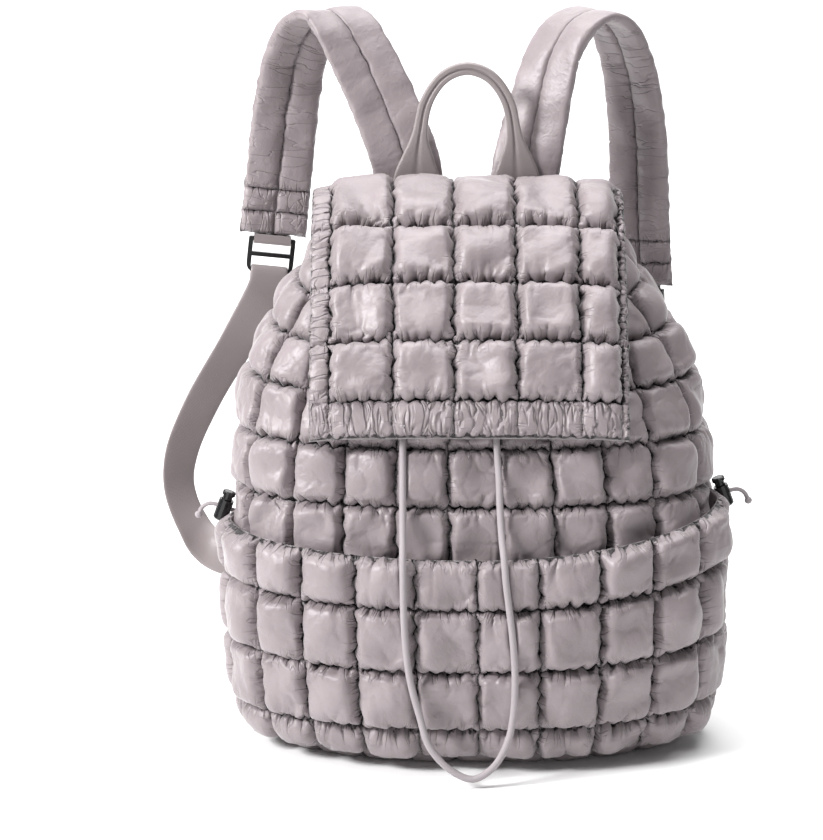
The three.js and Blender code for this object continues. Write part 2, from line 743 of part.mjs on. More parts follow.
function strapStations(side, table, spread) {
  const top = backPoint(MOUTH, STRAP_LAYER);
  const x = (side * STRAP_SPACING) / 2 + leanAt(BODY_HEIGHT);
  const tab = TAB_LEVELS.map((level) => ({
    centre: backPoint(level, STRAP_LAYER).setX(x),
    across: direction(0),
    pad: LEFT_STRAP[0].pad,
  }));
  const free = table.map((s) => ({
    centre: new THREE.Vector3(
      x + side * s.out * spread,
      top.y + s.back * STRAP_REACH,
      top.z + s.up * STRAP_RISE,
    ),
    across: direction(-side * s.turn),
    pad: s.pad,
  }));
  return [...tab, ...free];
}

// The frame in which a buckle hangs from its strap's end: across, out of its face and down.
function buckleFrame(stations) {
  const [before, end] = stations.slice(-2);
  const down = end.centre.clone().sub(before.centre).normalize();
  const across = end.across.clone();
  across.addScaledVector(down, -across.dot(down)).normalize();
  const face = down.clone().cross(across);
  return { top: end.centre, across, face, down };
}

function inFrame(frame, across, face, down) {
  return frame.top
    .clone()
    .addScaledVector(frame.across, across)
    .addScaledVector(frame.face, face)
    .addScaledVector(frame.down, down);
}

// Heights of the buckle's bars below the strap's end.
const SLOT_HEIGHT = (BUCKLE_HEIGHT - 3 * BUCKLE_BAR) / 2;
const BUCKLE_HANG = WEBBING_THICKNESS + 2 * BUCKLE_RUNNING_GAP;
const LOWER_BAR = BUCKLE_HANG + 2 * (BUCKLE_BAR + SLOT_HEIGHT);

function buckle(frame) {
  const [w, h] = [BUCKLE_WIDTH / 2, BUCKLE_HEIGHT];
  const [corner, taper] = [BUCKLE_BAR / 2, BUCKLE_BAR];
  const outline = new THREE.Shape();
  outline.moveTo(-w + corner, 0);
  outline.lineTo(w - corner, 0);
  outline.quadraticCurveTo(w, 0, w, corner);
  outline.lineTo(w, h - 2 * taper);
  outline.quadraticCurveTo(w, h - corner, w - taper, h);
  outline.lineTo(-w + taper, h);
  outline.quadraticCurveTo(-w, h - corner, -w, h - 2 * taper);
  outline.lineTo(-w, corner);
  outline.quadraticCurveTo(-w, 0, -w + corner, 0);
  const slotHalf = WEBBING_WIDTH / 2 + BUCKLE_RUNNING_GAP;
  for (const bar of [0, 1]) {
    const from = BUCKLE_BAR + bar * (SLOT_HEIGHT + BUCKLE_BAR);
    const slot = new THREE.Path();
    slot.moveTo(-slotHalf, from);
    slot.lineTo(-slotHalf, from + SLOT_HEIGHT);
    slot.lineTo(slotHalf, from + SLOT_HEIGHT);
    slot.lineTo(slotHalf, from);
    slot.closePath();
    outline.holes.push(slot);
  }
  const geometry = new THREE.ExtrudeGeometry(outline, {
    depth: BUCKLE_THICKNESS,
    bevelEnabled: false,
    curveSegments: 3,
  });
  geometry.translate(0, BUCKLE_HANG, -BUCKLE_THICKNESS / 2);
  const outwards = frame.across.clone().cross(frame.down);
  geometry.applyMatrix4(
    new THREE.Matrix4().makeBasis(frame.across, frame.down, outwards).setPosition(frame.top),
  );
  return geometry;
}

const FOLD_CORNER = 0.88; // how far a fold goes into the corners round a bar

// Webbing folded round a bar: the stations of the fold, from its front leg to its back leg.
function foldRound(frame, barTop, reachFront, reachBack, upwards) {
  const clear = BUCKLE_RUNNING_GAP + WEBBING_THICKNESS / 2;
  const face = BUCKLE_THICKNESS / 2 + clear;
  const edge = upwards ? barTop - clear : barTop + BUCKLE_BAR + clear;
  const middle = barTop + BUCKLE_BAR / 2;
  const stations = [
    [face, reachFront],
    [face, middle],
    [face * FOLD_CORNER, THREE.MathUtils.lerp(middle, edge, FOLD_CORNER)],
    [0, edge],
    [-face * FOLD_CORNER, THREE.MathUtils.lerp(middle, edge, FOLD_CORNER)],
    [-face, middle],
    [-face, reachBack],
  ];
  return stations.map(([out, down]) => ({
    centre: inFrame(frame, 0, out, down),
    across: frame.across.clone(),
  }));
}

// The short loop that holds the buckle, round its top bar and up to the strap's end.
function buckleLoop(frame) {
  const stations = foldRound(frame, BUCKLE_HANG, SEWN_GAP, SEWN_GAP, false);
  return ribbon(stations, FLAT_SECTION, WEBBING_WIDTH, WEBBING_THICKNESS, 2 * (stations.length - 1));
}

// The adjusting webbing: its tail behind, round the lower bar, and down in front to the bag's side.
function webbing(frame, side, table, spread) {
  const start = backPoint(MOUTH, STRAP_LAYER);
  const x = (side * STRAP_SPACING) / 2 + leanAt(BODY_HEIGHT);
  const anchorColumn = side < 0 ? ANCHOR_TURN : COLUMNS - ANCHOR_TURN;
  const offset = BODY_PUFF + WEBBING_THICKNESS;
  const anchor = wallPoint(anchorColumn, ANCHOR_LEVEL, offset);
  const beside = wallPoint(anchorColumn - side * -0.55, ANCHOR_LEVEL + 0.12, offset + 1.5);
  const frontLeg = LOWER_BAR + BUCKLE_BAR + 4;
  const fold = foldRound(frame, LOWER_BAR, frontLeg, LOWER_BAR + WEBBING_TAIL, true);
  const from = inFrame(frame, 0, 0, LOWER_BAR).z;
  const free = table.map((s) => ({
    centre: new THREE.Vector3(
      x + side * s.out * spread,
      start.y + s.back * STRAP_REACH,
      from + (anchor.z - from) * s.fall,
    ),
    across: direction(-side * s.turn, s.lift),
  }));
  const upright = new THREE.Vector3(0, 0, 1);
  const sewn = [beside, anchor].map((centre) => ({ centre, across: upright.clone() }));
  const stations = [...fold.toReversed(), ...free, ...sewn];
  return ribbon(stations, FLAT_SECTION, WEBBING_WIDTH, WEBBING_THICKNESS, 2 * (stations.length - 1));
}

function strapSet(side, table, spread, webbingTable) {
  const name = side < 0 ? "left" : "right";
  const stations = strapStations(side, table, spread);
  const frame = buckleFrame(stations);
  const strap = ribbon(
    stations,
    PADDED_SECTION,
    STRAP_WIDTH,
    STRAP_THICKNESS,
    3 * (stations.length - 1),
  );
  return [
    named(`shoulder_strap_${name}`, strap, FABRIC),
    named(`buckle_loop_${name}`, buckleLoop(frame), WEBBING),
    named(`buckle_${name}`, buckle(frame), PLASTIC),
    named(`webbing_${name}`, webbing(frame, side, webbingTable, spread), WEBBING),
  ];
}

// Cords

function tube(points, diameter, steps, sides) {
  const section = new THREE.Shape(
    range(sides).map((k) => {
      const angle = (2 * Math.PI * k) / sides;
      return new THREE.Vector2(Math.cos(angle), Math.sin(angle)).multiplyScalar(diameter / 2);
    }),
  );
  const path = new THREE.CatmullRomCurve3(points, false, "centripetal");
  return new THREE.ExtrudeGeometry(section, {
    steps: steps ?? Math.round(path.getLength() / DRAWSTRING_STEP),
    extrudePath: path,
    bevelEnabled: false,
  });
}

function drawstring() {
  const points = DRAWSTRING_ROUTE.map((p) => new THREE.Vector3(...p));
  return tube(points, DRAWSTRING, undefined, 8);
}

// The cord lock in its own frame: the button moves along z and the cord goes through along x.
const CORD_HOLE = POCKET_CORD / 2 + CORD_GAP;
const BUTTON_RADIUS = LOCK_RADIUS - LOCK_WALL - 0.3;
const BUTTON_FOOT = -CORD_HOLE - LOCK_BRIDGE;
const SLOT_TOP = CORD_HOLE + LOCK_TRAVEL;
const BARREL_TOP = SLOT_TOP + 0.6;
const BARREL_BORE_FLOOR = BUTTON_FOOT - LOCK_TRAVEL - CORD_GAP;
const BARREL_FOOT = BARREL_BORE_FLOOR - LOCK_FLOOR;
const HEAD_FOOT = BARREL_TOP + LOCK_TRAVEL + CORD_GAP;
const LOCK_SIDES = 14;

function turned(profile) {
  const points = profile.map(([r, z]) => new THREE.Vector2(r, z));
  const geometry = new THREE.LatheGeometry(points, LOCK_SIDES);
  geometry.rotateX(Math.PI / 2);
  return toSolid(facingOut(geometry));
}

function crossHole(low, high, halfWidth, halfLength) {
  const shape = new THREE.Shape();
  shape.absarc(0, low + halfWidth, halfWidth, Math.PI, 2 * Math.PI);
  shape.absarc(0, high - halfWidth, halfWidth, 0, Math.PI);
  shape.closePath();
  const geometry = new THREE.ExtrudeGeometry(shape, {
    depth: 2 * halfLength,
    bevelEnabled: false,
    curveSegments: 5,
  });
  geometry.translate(0, 0, -halfLength);
  geometry.applyMatrix4(
    new THREE.Matrix4().makeBasis(
      new THREE.Vector3(0, 1, 0),
      new THREE.Vector3(0, 0, 1),
      new THREE.Vector3(1, 0, 0),
    ),
  );
  return toSolid(geometry);
}

function lockBarrel() {
  const bevel = 1;
  const bore = LOCK_RADIUS - LOCK_WALL;
  const body = turned([
    [0, BARREL_FOOT],
    [LOCK_RADIUS - bevel, BARREL_FOOT],
    [LOCK_RADIUS, BARREL_FOOT + bevel],
    [LOCK_RADIUS, BARREL_TOP],
    [bore, BARREL_TOP],
    [bore, BARREL_BORE_FLOOR],
    [0, BARREL_BORE_FLOOR],
  ]);
  return toGeometry(body.subtract(crossHole(-CORD_HOLE, CORD_HOLE + 0.01, CORD_HOLE, 2 * LOCK_RADIUS)));
}

function lockButton() {
  const head = LOCK_RADIUS - 0.6;
  const bevel = 0.7;
  const body = turned([
    [0, BUTTON_FOOT],
    [BUTTON_RADIUS, BUTTON_FOOT],
    [BUTTON_RADIUS, HEAD_FOOT],
    [head, HEAD_FOOT],
    [head, HEAD_FOOT + LOCK_HEAD - bevel],
    [head - bevel, HEAD_FOOT + LOCK_HEAD],
    [0, HEAD_FOOT + LOCK_HEAD],
  ]);
  return toGeometry(body.subtract(crossHole(-CORD_HOLE, SLOT_TOP, CORD_HOLE, 2 * LOCK_RADIUS)));
}

// The cord's end: straight from the hem through the lock, then a drop to a small knot. Shares of its length.
const CORD_END = [
  { out: 0, drop: 0 },
  { out: 0.25, drop: 0 },
  { out: 0.5, drop: 0 },
  { out: 0.62, drop: 0.03 },
  { out: 0.71, drop: 0.13 },
  { out: 0.73, drop: 0.3 },
];
const CORD_END_LENGTH = 35;
const LEFT_LOCK_HEIGHT = 0.97; // as shares of the pocket's
const RIGHT_LOCK_HEIGHT = 0.93;
const KNOT = 5.2; // across
const LOCK_TILT = 20; // degrees, its button leaning in to the bag

function lockSet(side) {
  const name = side < 0 ? "left" : "right";
  const [column, height] = side < 0 ? [POCKET_FIRST, LEFT_LOCK_HEIGHT] : [POCKET_LAST, RIGHT_LOCK_HEIGHT];
  const start = pocketPoint(column, height, CLOTH + 6 * SEWN_GAP);
  const tilt = THREE.MathUtils.degToRad(LOCK_TILT);
  const out = new THREE.Vector3(side * Math.cos(tilt), 0, Math.sin(tilt));
  const up = new THREE.Vector3(-side * Math.sin(tilt), 0, Math.cos(tilt));
  const middle = start.clone().addScaledVector(out, LOCK_STANDOFF);
  const points = CORD_END.map((s) =>
    start
      .clone()
      .addScaledVector(out, s.out * CORD_END_LENGTH)
      .addScaledVector(up, -s.drop * CORD_END_LENGTH),
  );
  const frame = new THREE.Matrix4().makeBasis(out, up.clone().cross(out), up).setPosition(middle);
  const barrel = lockBarrel().applyMatrix4(frame);
  const button = lockButton().applyMatrix4(frame);
  const knot = new THREE.IcosahedronGeometry(KNOT / 2, 1);
  knot.deleteAttribute("normal");
  knot.deleteAttribute("uv");
  knot.translate(...points.at(-1));
  const cord = toSolid(tube(points, POCKET_CORD, 14, 8)).add(toSolid(mergeVertices(knot, 1e-3)));
  return [
    named(`lock_barrel_${name}`, barrel, PLASTIC),
    named(`lock_button_${name}`, button, PLASTIC),
    named(`pocket_cord_${name}`, toGeometry(cord), CORD),
  ];
}

const backpack = new THREE.Group();
backpack.name = "quilted_backpack";
backpack.add(
  named("body_wall", bodyWall(), FABRIC),
  named("base_panel", basePanel(), FABRIC),
  named("front_pocket", frontPocket(), FABRIC),
  named("flap", flap(), FABRIC),
  named("yoke", yoke(), FABRIC),
  named("handle", handle(), WEBBING),
  ...strapSet(-1, LEFT_STRAP, LEFT_STRAP_SPREAD, LEFT_WEBBING),
  ...strapSet(1, RIGHT_STRAP, RIGHT_STRAP_SPREAD, RIGHT_WEBBING),
  named("drawstring", drawstring(), CORD),
  ...lockSet(-1),
  ...lockSet(1),
);

export default backpack;
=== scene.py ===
"""A quilted puffer backpack on a pale floor: quilted nylon, webbing, cords and glossy plastic."""

import math

import bpy
import numpy as np
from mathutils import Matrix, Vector


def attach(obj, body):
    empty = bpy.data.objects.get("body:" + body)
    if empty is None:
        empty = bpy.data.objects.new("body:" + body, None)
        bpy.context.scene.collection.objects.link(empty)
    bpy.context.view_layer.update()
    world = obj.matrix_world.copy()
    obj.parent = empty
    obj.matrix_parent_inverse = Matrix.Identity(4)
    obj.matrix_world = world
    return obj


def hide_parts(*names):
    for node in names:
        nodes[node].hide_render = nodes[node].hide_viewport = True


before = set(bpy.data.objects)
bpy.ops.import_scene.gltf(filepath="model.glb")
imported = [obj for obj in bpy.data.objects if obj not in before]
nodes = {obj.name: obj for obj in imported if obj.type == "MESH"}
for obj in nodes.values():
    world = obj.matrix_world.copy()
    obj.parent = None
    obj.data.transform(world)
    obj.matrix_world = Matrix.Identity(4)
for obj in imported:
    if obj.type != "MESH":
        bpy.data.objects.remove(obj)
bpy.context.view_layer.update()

# Sizes are in millimetres until a mesh or curve is made.
MM = 0.001

# The bag, as its solids have it
BODY_WIDTH, BODY_DEPTH, BODY_HEIGHT = 296, 144, 352
BODY_LEAN = 7
BODY_PUFF = 7.5
CLOTH = 2
BACK_SQUARENESS, FRONT_SQUARENESS = 3.4, 2.3
COLUMNS = 22
# Seams from the base to the mouth: height behind and in front, half width, back, front, puff above it
LEVELS = np.array(
    [
        (0.0, 0.0, 0.865, 0.861, -0.833, 0),
        (0.034, 0.034, 0.939, 0.944, -0.944, 0.9),
        (0.148, 0.148, 0.973, 0.972, -1.0, 1),
        (0.261, 0.261, 0.986, 0.986, -1.014, 1),
        (0.375, 0.375, 0.993, 0.986, -0.972, 1),
        (0.489, 0.486, 1.0, 0.986, -0.889, 1),
        (0.599, 0.585, 0.986, 0.972, -0.736, 1),
        (0.707, 0.673, 0.939, 0.958, -0.542, 1),
        (0.804, 0.744, 0.845, 0.931, -0.333, 0.95),
        (0.889, 0.804, 0.73, 0.903, -0.111, 0.85),
        (0.957, 0.852, 0.635, 0.861, 0.083, 0.5),
        (1.0, 0.892, 0.581, 0.792, 0.25, 0),
    ]
)
MOUTH = len(LEVELS) - 1

# The front pocket
POCKET_FIRST, POCKET_LAST = 5.5, 16.5
POCKET_ROOM, POCKET_FOOT_GAP = 5, 3.6
POCKET_RIM_LEVEL, LEFT_RIM_LEVEL, RIGHT_RIM_LEVEL = 4.22, 4.5, 4.9
POCKET_ROWS = [0, 0.17, 0.46, 0.76, 1]
POCKET_SEAMS = [5.5, 6.2, 7.03, 7.87, 8.83, 9.88, 11, 12.12, 13.2, 14.17, 15.08, 15.9, 16.5]

# The flap
FLAP_WIDTH, FLAP_LENGTH = 202, 248
FLAP_START = 8.7
FLAP_CLOTH = 3
FLAP_ROOM, FLAP_SEAT, FLAP_FOLLOW = 8, 6.9, 0.75
FLAP_ROWS = [0.235, 0.43, 0.595, 0.755, 0.91, 1]
FLAP_COLUMNS = [0, 0.062, 0.26, 0.452, 0.65, 0.85, 0.975, 1]

# The drawstring's centreline
DRAWSTRING = 4.5
DRAWSTRING_ROUTE = [
    (-47, 8, 309.5), (-46.5, 3, 309.5), (-46.5, -3, 304), (-46.5, -11, 295), (-48.5, -18.5, 283),
    (-48.5, -28, 271), (-49, -33, 261), (-49.5, -43.5, 248), (-50, -50, 235), (-49.5, -55.5, 222),
    (-49, -62, 207), (-49, -71, 190), (-49, -77, 174), (-49, -84.5, 158), (-49, -93, 146),
    (-48.8, -97, 132), (-48.5, -98.5, 116), (-47.5, -100.5, 95), (-44.5, -102, 70),
    (-38.5, -103.5, 46.5), (-32, -107, 26.5), (-18, -109, 11.5), (-4.5, -110, 6.5), (7.5, -109, 13.5),
    (16.5, -107, 28.5), (20.5, -104, 46), (21.5, -102.5, 71), (20, -101, 95), (17.5, -98.5, 116),
    (15.5, -97, 132), (14.3, -93, 146), (13, -84.5, 158), (12, -77, 174), (11.5, -71, 190),
    (10.5, -62, 207), (9.5, -55.5, 222), (10, -50, 235), (10, -43.5, 248), (10, -33, 261),
    (10, -28, 271), (10, -18.5, 283), (8, -11, 295), (6, -3, 304), (4.5, 3, 309.5), (4, 7, 309.5),
]  # fmt: skip

# Straps, webbing and handle
WEBBING_WIDTH, WEBBING_THICKNESS = 25, 1.5
HANDLE_WIDTH, HANDLE_THICKNESS, HANDLE_RISE, HANDLE_SPAN = 30, 1.8, 76, 66
STRAP_WIDTH, STRAP_THICKNESS, STRAP_SPACING = 45, 9, 78
STRAP_RISE, STRAP_REACH = 106, 54
STRAP_END_SEAMS = (15, 31)
SEWN_GAP = 0.4
TAB_LEVELS = (9.1, 10.1)
HANDLE_LAYER = FLAP_SEAT + FLAP_CLOTH + SEWN_GAP + HANDLE_THICKNESS / 2
STRAP_LAYER = HANDLE_LAYER + (HANDLE_THICKNESS + STRAP_THICKNESS / 2) / 2 + SEWN_GAP
BUCKLE_BAR, BUCKLE_THICKNESS, BUCKLE_GAP = 3, 3.2, 0.4
LOWER_BAR = WEBBING_THICKNESS + 2 * BUCKLE_GAP + 24 - BUCKLE_BAR
WEBBING_TAIL = 42
ANCHOR_LEVEL, ANCHOR_TURN = 2.85, 4.35
# Stations of a strap from the back to its buckle: out, back, up, and the turn of its width
LEFT_STRAP = [
    (0, 0.03, 0.06, 2), (0.15, 0.17, 0.43, 12), (0.35, 0.33, 0.79, 20), (0.46, 0.45, 0.94, 25),
    (0.57, 0.61, 1, 28), (0.7, 0.78, 0.93, 27), (0.81, 0.9, 0.74, 22), (0.88, 0.97, 0.45, 16),
    (0.94, 1, 0.03, 10), (1, 0.96, -0.43, 6),
]  # fmt: skip
RIGHT_STRAP = [
    (0, 0.04, 0.06, 4), (0.1, 0.2, 0.43, 30), (0.23, 0.33, 0.79, 44), (0.38, 0.46, 0.95, 48),
    (0.55, 0.63, 1, 50), (0.71, 0.8, 0.92, 48), (0.83, 0.91, 0.72, 44), (0.91, 0.98, 0.43, 39),
    (0.95, 1, 0.14, 36), (0.97, 0.98, -0.32, 31), (1, 0.93, -0.76, 28),
]  # fmt: skip
# Stations of the webbing below a buckle: out, back, fall, turn and lift of its width
LEFT_WEBBING = [
    (1.09, 0.92, 0.1, 8, 4), (1.27, 0.82, 0.25, 14, 10), (1.53, 0.72, 0.45, 20, 16), (1.69, 0.6, 0.62, 30, 20),
    (1.71, 0.5, 0.73, 48, 30), (1.62, 0.36, 0.84, 75, 48), (1.44, 0.2, 0.94, 100, 72),
]  # fmt: skip
RIGHT_WEBBING = [
    (1.02, 0.82, 0.1, 24, 3), (1.05, 0.74, 0.28, 26, 6), (1.06, 0.66, 0.46, 30, 12), (1.06, 0.57, 0.63, 36, 24),
    (1.07, 0.42, 0.77, 42, 42), (1.1, 0.18, 0.89, 47, 62),
]  # fmt: skip
SIDES = {"left": (-1, LEFT_STRAP, 92, LEFT_WEBBING), "right": (1, RIGHT_STRAP, 82, RIGHT_WEBBING)}
# Stations of half the handle above the back: across, up, and shares of its width and thickness
HANDLE = [
    (1, 0.06, 1, 1.2), (0.98, 0.22, 0.72, 1.8), (0.94, 0.42, 0.36, 2.6), (0.8, 0.72, 0.29, 2.8),
    (0.45, 0.93, 0.29, 2.8), (0, 1, 0.29, 2.8),
]  # fmt: skip

# How the quilting is sewn and gathered
FULLNESS, PLEAT_REACH = 0.1, 5.5
ROW_PLEATS, COLUMN_PLEATS = 0.55, 0.32
SEAM_DEPTH, SEAM_RIPPLE = 3.2, 0.8
ROW_WANDER, COLUMN_WANDER, WANDER_REACH = 1.15, 0.95, 4
CREASE_DEPTH, CREASE_REACH, CREASE_WIDTH = 3.4, 10, 0.4
SIDEWAYS, LEAST_STRAY = 0.42, 0.3  # how far cloth may go sideways: a share of the way to its seam, and more
SEAM_SHADE_REACH = 2.6  # how far the painted shade of a seam goes
FOLD_REACH = 8  # how far the short folds beside a seam go, as bumps and as painted shade

# How the quilting is filled: its padding, and the cloth's stiffness in the simulation
PRESSURE, LOFT, SHOULDER = 0.46, 9, 9.5
SEAM_LOFT, DOME_POWER = 0.1, 0.62
UNEVENNESS, TILTING = 0.14, 0.2
START_LIFT, LEAST_LIFT, SETTLING = 0.9, 0.2, 0.55
ROUNDS, SWEEPS, BEND = 56, 4, 0.07
SQUEEZE, SLANT_STRETCH, SLANT_SQUEEZE = 0.8, 0.3, 0.15

# Spacing of the points of the quilted pieces
BACK_SPACING, FRONT_SPACING, NECK_SPACING, FOOT_SPACING = 1.6, 1, 1.4, 4
POCKET_SPACING, FLAP_SPACING, STRAP_STEP, STRAP_POINTS = 1.15, 1.2, 1.4, 1.3
CELL, POCKET_SPAN = 38, 135  # about the size of a cell of the bag, and the pocket's height
LINING_DEPTH = 6
HIDDEN_LEVEL, NECK_LEVEL = 4, 8  # the pocket hides the front below the one, the flap most above the other

# The nylon's painted shade: a dark line painted where shadow falls in a seam, jagged by a noise, and painted shade in
# the folds and the groove beside it
SEAM_SHADE = (0.012, 0.008, 0.009, 1)
LINE_START, LINE_EDGE, JAGGEDNESS = 0.64, 6, 3
FOLD_SHADE, GROOVE_SHADE, FOLD_NARROWING, FOLD_START = 0.14, 0.12, 13, 0.2

# The camera
AZIMUTH, ELEVATION = 0, 14.5
DISTANCE = 1900
AIM = (-43.5, 0, 212)
LENS, SENSOR = 125.4, 36


# Camera and cords come first

def make_camera():
    camera = bpy.data.objects.new("camera", bpy.data.cameras.new("camera"))
    bpy.context.scene.collection.objects.link(camera)
    a, e = math.radians(AZIMUTH), math.radians(ELEVATION)
    back = Vector((math.sin(a) * math.cos(e), -math.cos(a) * math.cos(e), math.sin(e)))
    camera.location = (Vector(AIM) + back * DISTANCE) * MM
    camera.rotation_euler = (-back).to_track_quat("-Z", "Y").to_euler()
    camera.data.lens = LENS
    camera.data.sensor_width = SENSOR
    camera.data.clip_start, camera.data.clip_end = 0.05, 20
    bpy.context.scene.camera = camera


def smooth_line(points, steps):
    """Points along a centripetal Catmull-Rom line through points, evenly spaced along it."""
    p = np.asarray(points, float)
    p = np.vstack([2 * p[0] - p[1], p, 2 * p[-1] - p[-2]])
    gaps = np.linalg.norm(np.diff(p[:, :3], axis=0), axis=1) ** 0.5
    t = np.concatenate([[0], np.cumsum(gaps)])
    parts = []
    for k in range(1, len(p) - 2):
        s = np.linspace(t[k], t[k + 1], 12, endpoint=k == len(p) - 3)[:, None]
        t0, t1, t2, t3 = t[k - 1 : k + 3]
        a1 = (t1 - s) / (t1 - t0) * p[k - 1] + (s - t0) / (t1 - t0) * p[k]
        a2 = (t2 - s) / (t2 - t1) * p[k] + (s - t1) / (t2 - t1) * p[k + 1]
        a3 = (t3 - s) / (t3 - t2) * p[k + 1] + (s - t2) / (t3 - t2) * p[k + 2]
        b1 = (t2 - s) / (t2 - t0) * a1 + (s - t0) / (t2 - t0) * a2
        b2 = (t3 - s) / (t3 - t1) * a2 + (s - t1) / (t3 - t1) * a3
        parts.append((t2 - s) / (t2 - t1) * b1 + (s - t1) / (t2 - t1) * b2)
    line = np.vstack(parts)
    return along_line(line, np.linspace(0, 1, steps))


def along_line(line, shares):
    """The places at these shares of a line's length. Further columns of the line go with them."""
    lengths = np.concatenate([[0], np.cumsum(np.linalg.norm(np.diff(line[:, :3], axis=0), axis=1))])
    return np.stack([np.interp(shares * lengths[-1], lengths, column) for column in line.T], -1)


def make_drawstring():
    centres, sides = smooth_line(DRAWSTRING_ROUTE, 320) * MM, 14
    along = np.gradient(centres, axis=0)
    along /= np.linalg.norm(along, axis=1, keepdims=True)
    across = np.cross(along, [0.13, 0.9, 0.42])
    across /= np.linalg.norm(across, axis=1, keepdims=True)
    angle = np.arange(sides) * 2 * np.pi / sides
    rings = centres[:, None] + DRAWSTRING / 2 * MM * (
        across[:, None] * np.cos(angle)[:, None] + np.cross(along, across)[:, None] * np.sin(angle)[:, None]
    )
    ring = np.arange(sides)
    faces = [
        (k * sides + i, k * sides + j, (k + 1) * sides + j, (k + 1) * sides + i)
        for k in range(len(centres) - 1)
        for i, j in zip(ring.tolist(), np.roll(ring, -1).tolist())
    ]
    last = len(centres) * sides
    mesh = bpy.data.meshes.new("drawstring_cord")
    mesh.from_pydata(rings.reshape(-1, 3).tolist(), [], [*faces, range(sides - 1, -1, -1), range(last - sides, last)])
    mesh.polygons.foreach_set("use_smooth", [True] * len(mesh.polygons))
    cord = bpy.data.objects.new("drawstring_cord", mesh)
    bpy.context.scene.collection.objects.link(cord)
    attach(cord, "bag")
    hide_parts("drawstring")
    return cord


make_camera()
drawstring = make_drawstring()


# The bag's surfaces

def level_values(level):
    """The six columns of LEVELS at each level between its rows."""
    row = np.clip(np.floor(level).astype(int), 0, MOUTH - 1)
    p0, p1, p2, p3 = (LEVELS[np.clip(row + k, 0, MOUTH)] for k in (-1, 0, 1, 2))
    t = (level - row)[:, None]
    a, b = (p2 - p0) / 2, (p3 - p1) / 2
    return (2 * p1 - 2 * p2 + a + b) * t**3 + (3 * p2 - 3 * p1 - 2 * a - b) * t**2 + a * t + p1


def lean(z):
    return -BODY_LEAN * z / BODY_HEIGHT


LEVEL_STEPS, COLUMN_STEPS = 50, 40


def make_wall():
    """The seam surface and its normals on a fine grid of levels and columns."""
    levels = np.arange(MOUTH * LEVEL_STEPS + 1) / LEVEL_STEPS
    back_up, front_up, half, back, front, _ = level_values(levels).T
    angle = np.linspace(0, 2 * np.pi, 1537)
    sine, cosine = np.sin(angle), np.cos(angle)
    power = 2 / np.where(cosine > 0, BACK_SQUARENESS, FRONT_SQUARENESS)
    across = np.sign(sine) * np.abs(sine) ** power
    along = np.sign(cosine) * np.abs(cosine) ** power
    grid = np.zeros((len(levels), COLUMNS * COLUMN_STEPS + 1, 3))
    for k in range(len(levels)):
        x = -half[k] * BODY_WIDTH / 2 * across
        y = (back[k] + front[k] + (back[k] - front[k]) * along) * BODY_DEPTH / 4
        share = (back[k] * BODY_DEPTH / 2 - y) / ((back[k] - front[k]) * BODY_DEPTH / 2)
        z = (back_up[k] + (front_up[k] - back_up[k]) * share) * BODY_HEIGHT
        ring = np.stack([x + lean(z), y, z], -1)
        grid[k] = along_line(ring, np.linspace(0, 1, grid.shape[1]))
    wrapped = np.concatenate([grid[:, -3:-1], grid, grid[:, 1:3]], 1)
    round_, up = np.gradient(wrapped, axis=1)[:, 2:-2], np.gradient(grid, axis=0)
    normals = np.cross(round_, up)
    return grid, normals / np.linalg.norm(normals, axis=-1, keepdims=True)


WALL, WALL_NORMALS = make_wall()


def wall(column, level, offset=0.0):
    """Points off the bag's seam surface, at arrays of columns and levels."""
    column, level = np.broadcast_arrays(np.asarray(column, float), np.asarray(level, float))
    c = (column % COLUMNS) * COLUMN_STEPS
    r = np.clip(level, 0, MOUTH) * LEVEL_STEPS
    c0 = np.minimum(np.floor(c).astype(int), WALL.shape[1] - 2)
    r0 = np.minimum(np.floor(r).astype(int), WALL.shape[0] - 2)
    u, v = (c - c0)[..., None], (r - r0)[..., None]

    def read(grid):
        low = grid[r0, c0] * (1 - u) + grid[r0, c0 + 1] * u
        high = grid[r0 + 1, c0] * (1 - u) + grid[r0 + 1, c0 + 1] * u
        return low * (1 - v) + high * v

    return read(WALL) + read(WALL_NORMALS) * np.asarray(offset)[..., None]


def pocket_rim(column):
    side = (column - COLUMNS / 2) / (COLUMNS / 2 - POCKET_FIRST)
    end = np.where(side < 0, LEFT_RIM_LEVEL, RIGHT_RIM_LEVEL)
    return POCKET_RIM_LEVEL + (end - POCKET_RIM_LEVEL) * side**2


def pocket(column, row, outwards):
    """Points of the pocket: row runs from its foot to its rim."""
    from_side = np.maximum(np.minimum(column - POCKET_FIRST, POCKET_LAST - column), 0)
    inwards = np.minimum(1, 2 * from_side)
    edge = np.minimum(inwards, row / POCKET_ROWS[1])
    middle = np.sin(np.pi / 2 * np.minimum(1, from_side / 4))
    height = np.sin(np.pi / 2 * np.minimum(1, row * 2))
    sewn = 0.8 + (POCKET_FOOT_GAP - 0.8) * inwards
    offset = sewn + edge * BODY_PUFF + POCKET_ROOM * middle * height
    return wall(column, 1 + (pocket_rim(column) - 1) * row, offset + outwards)


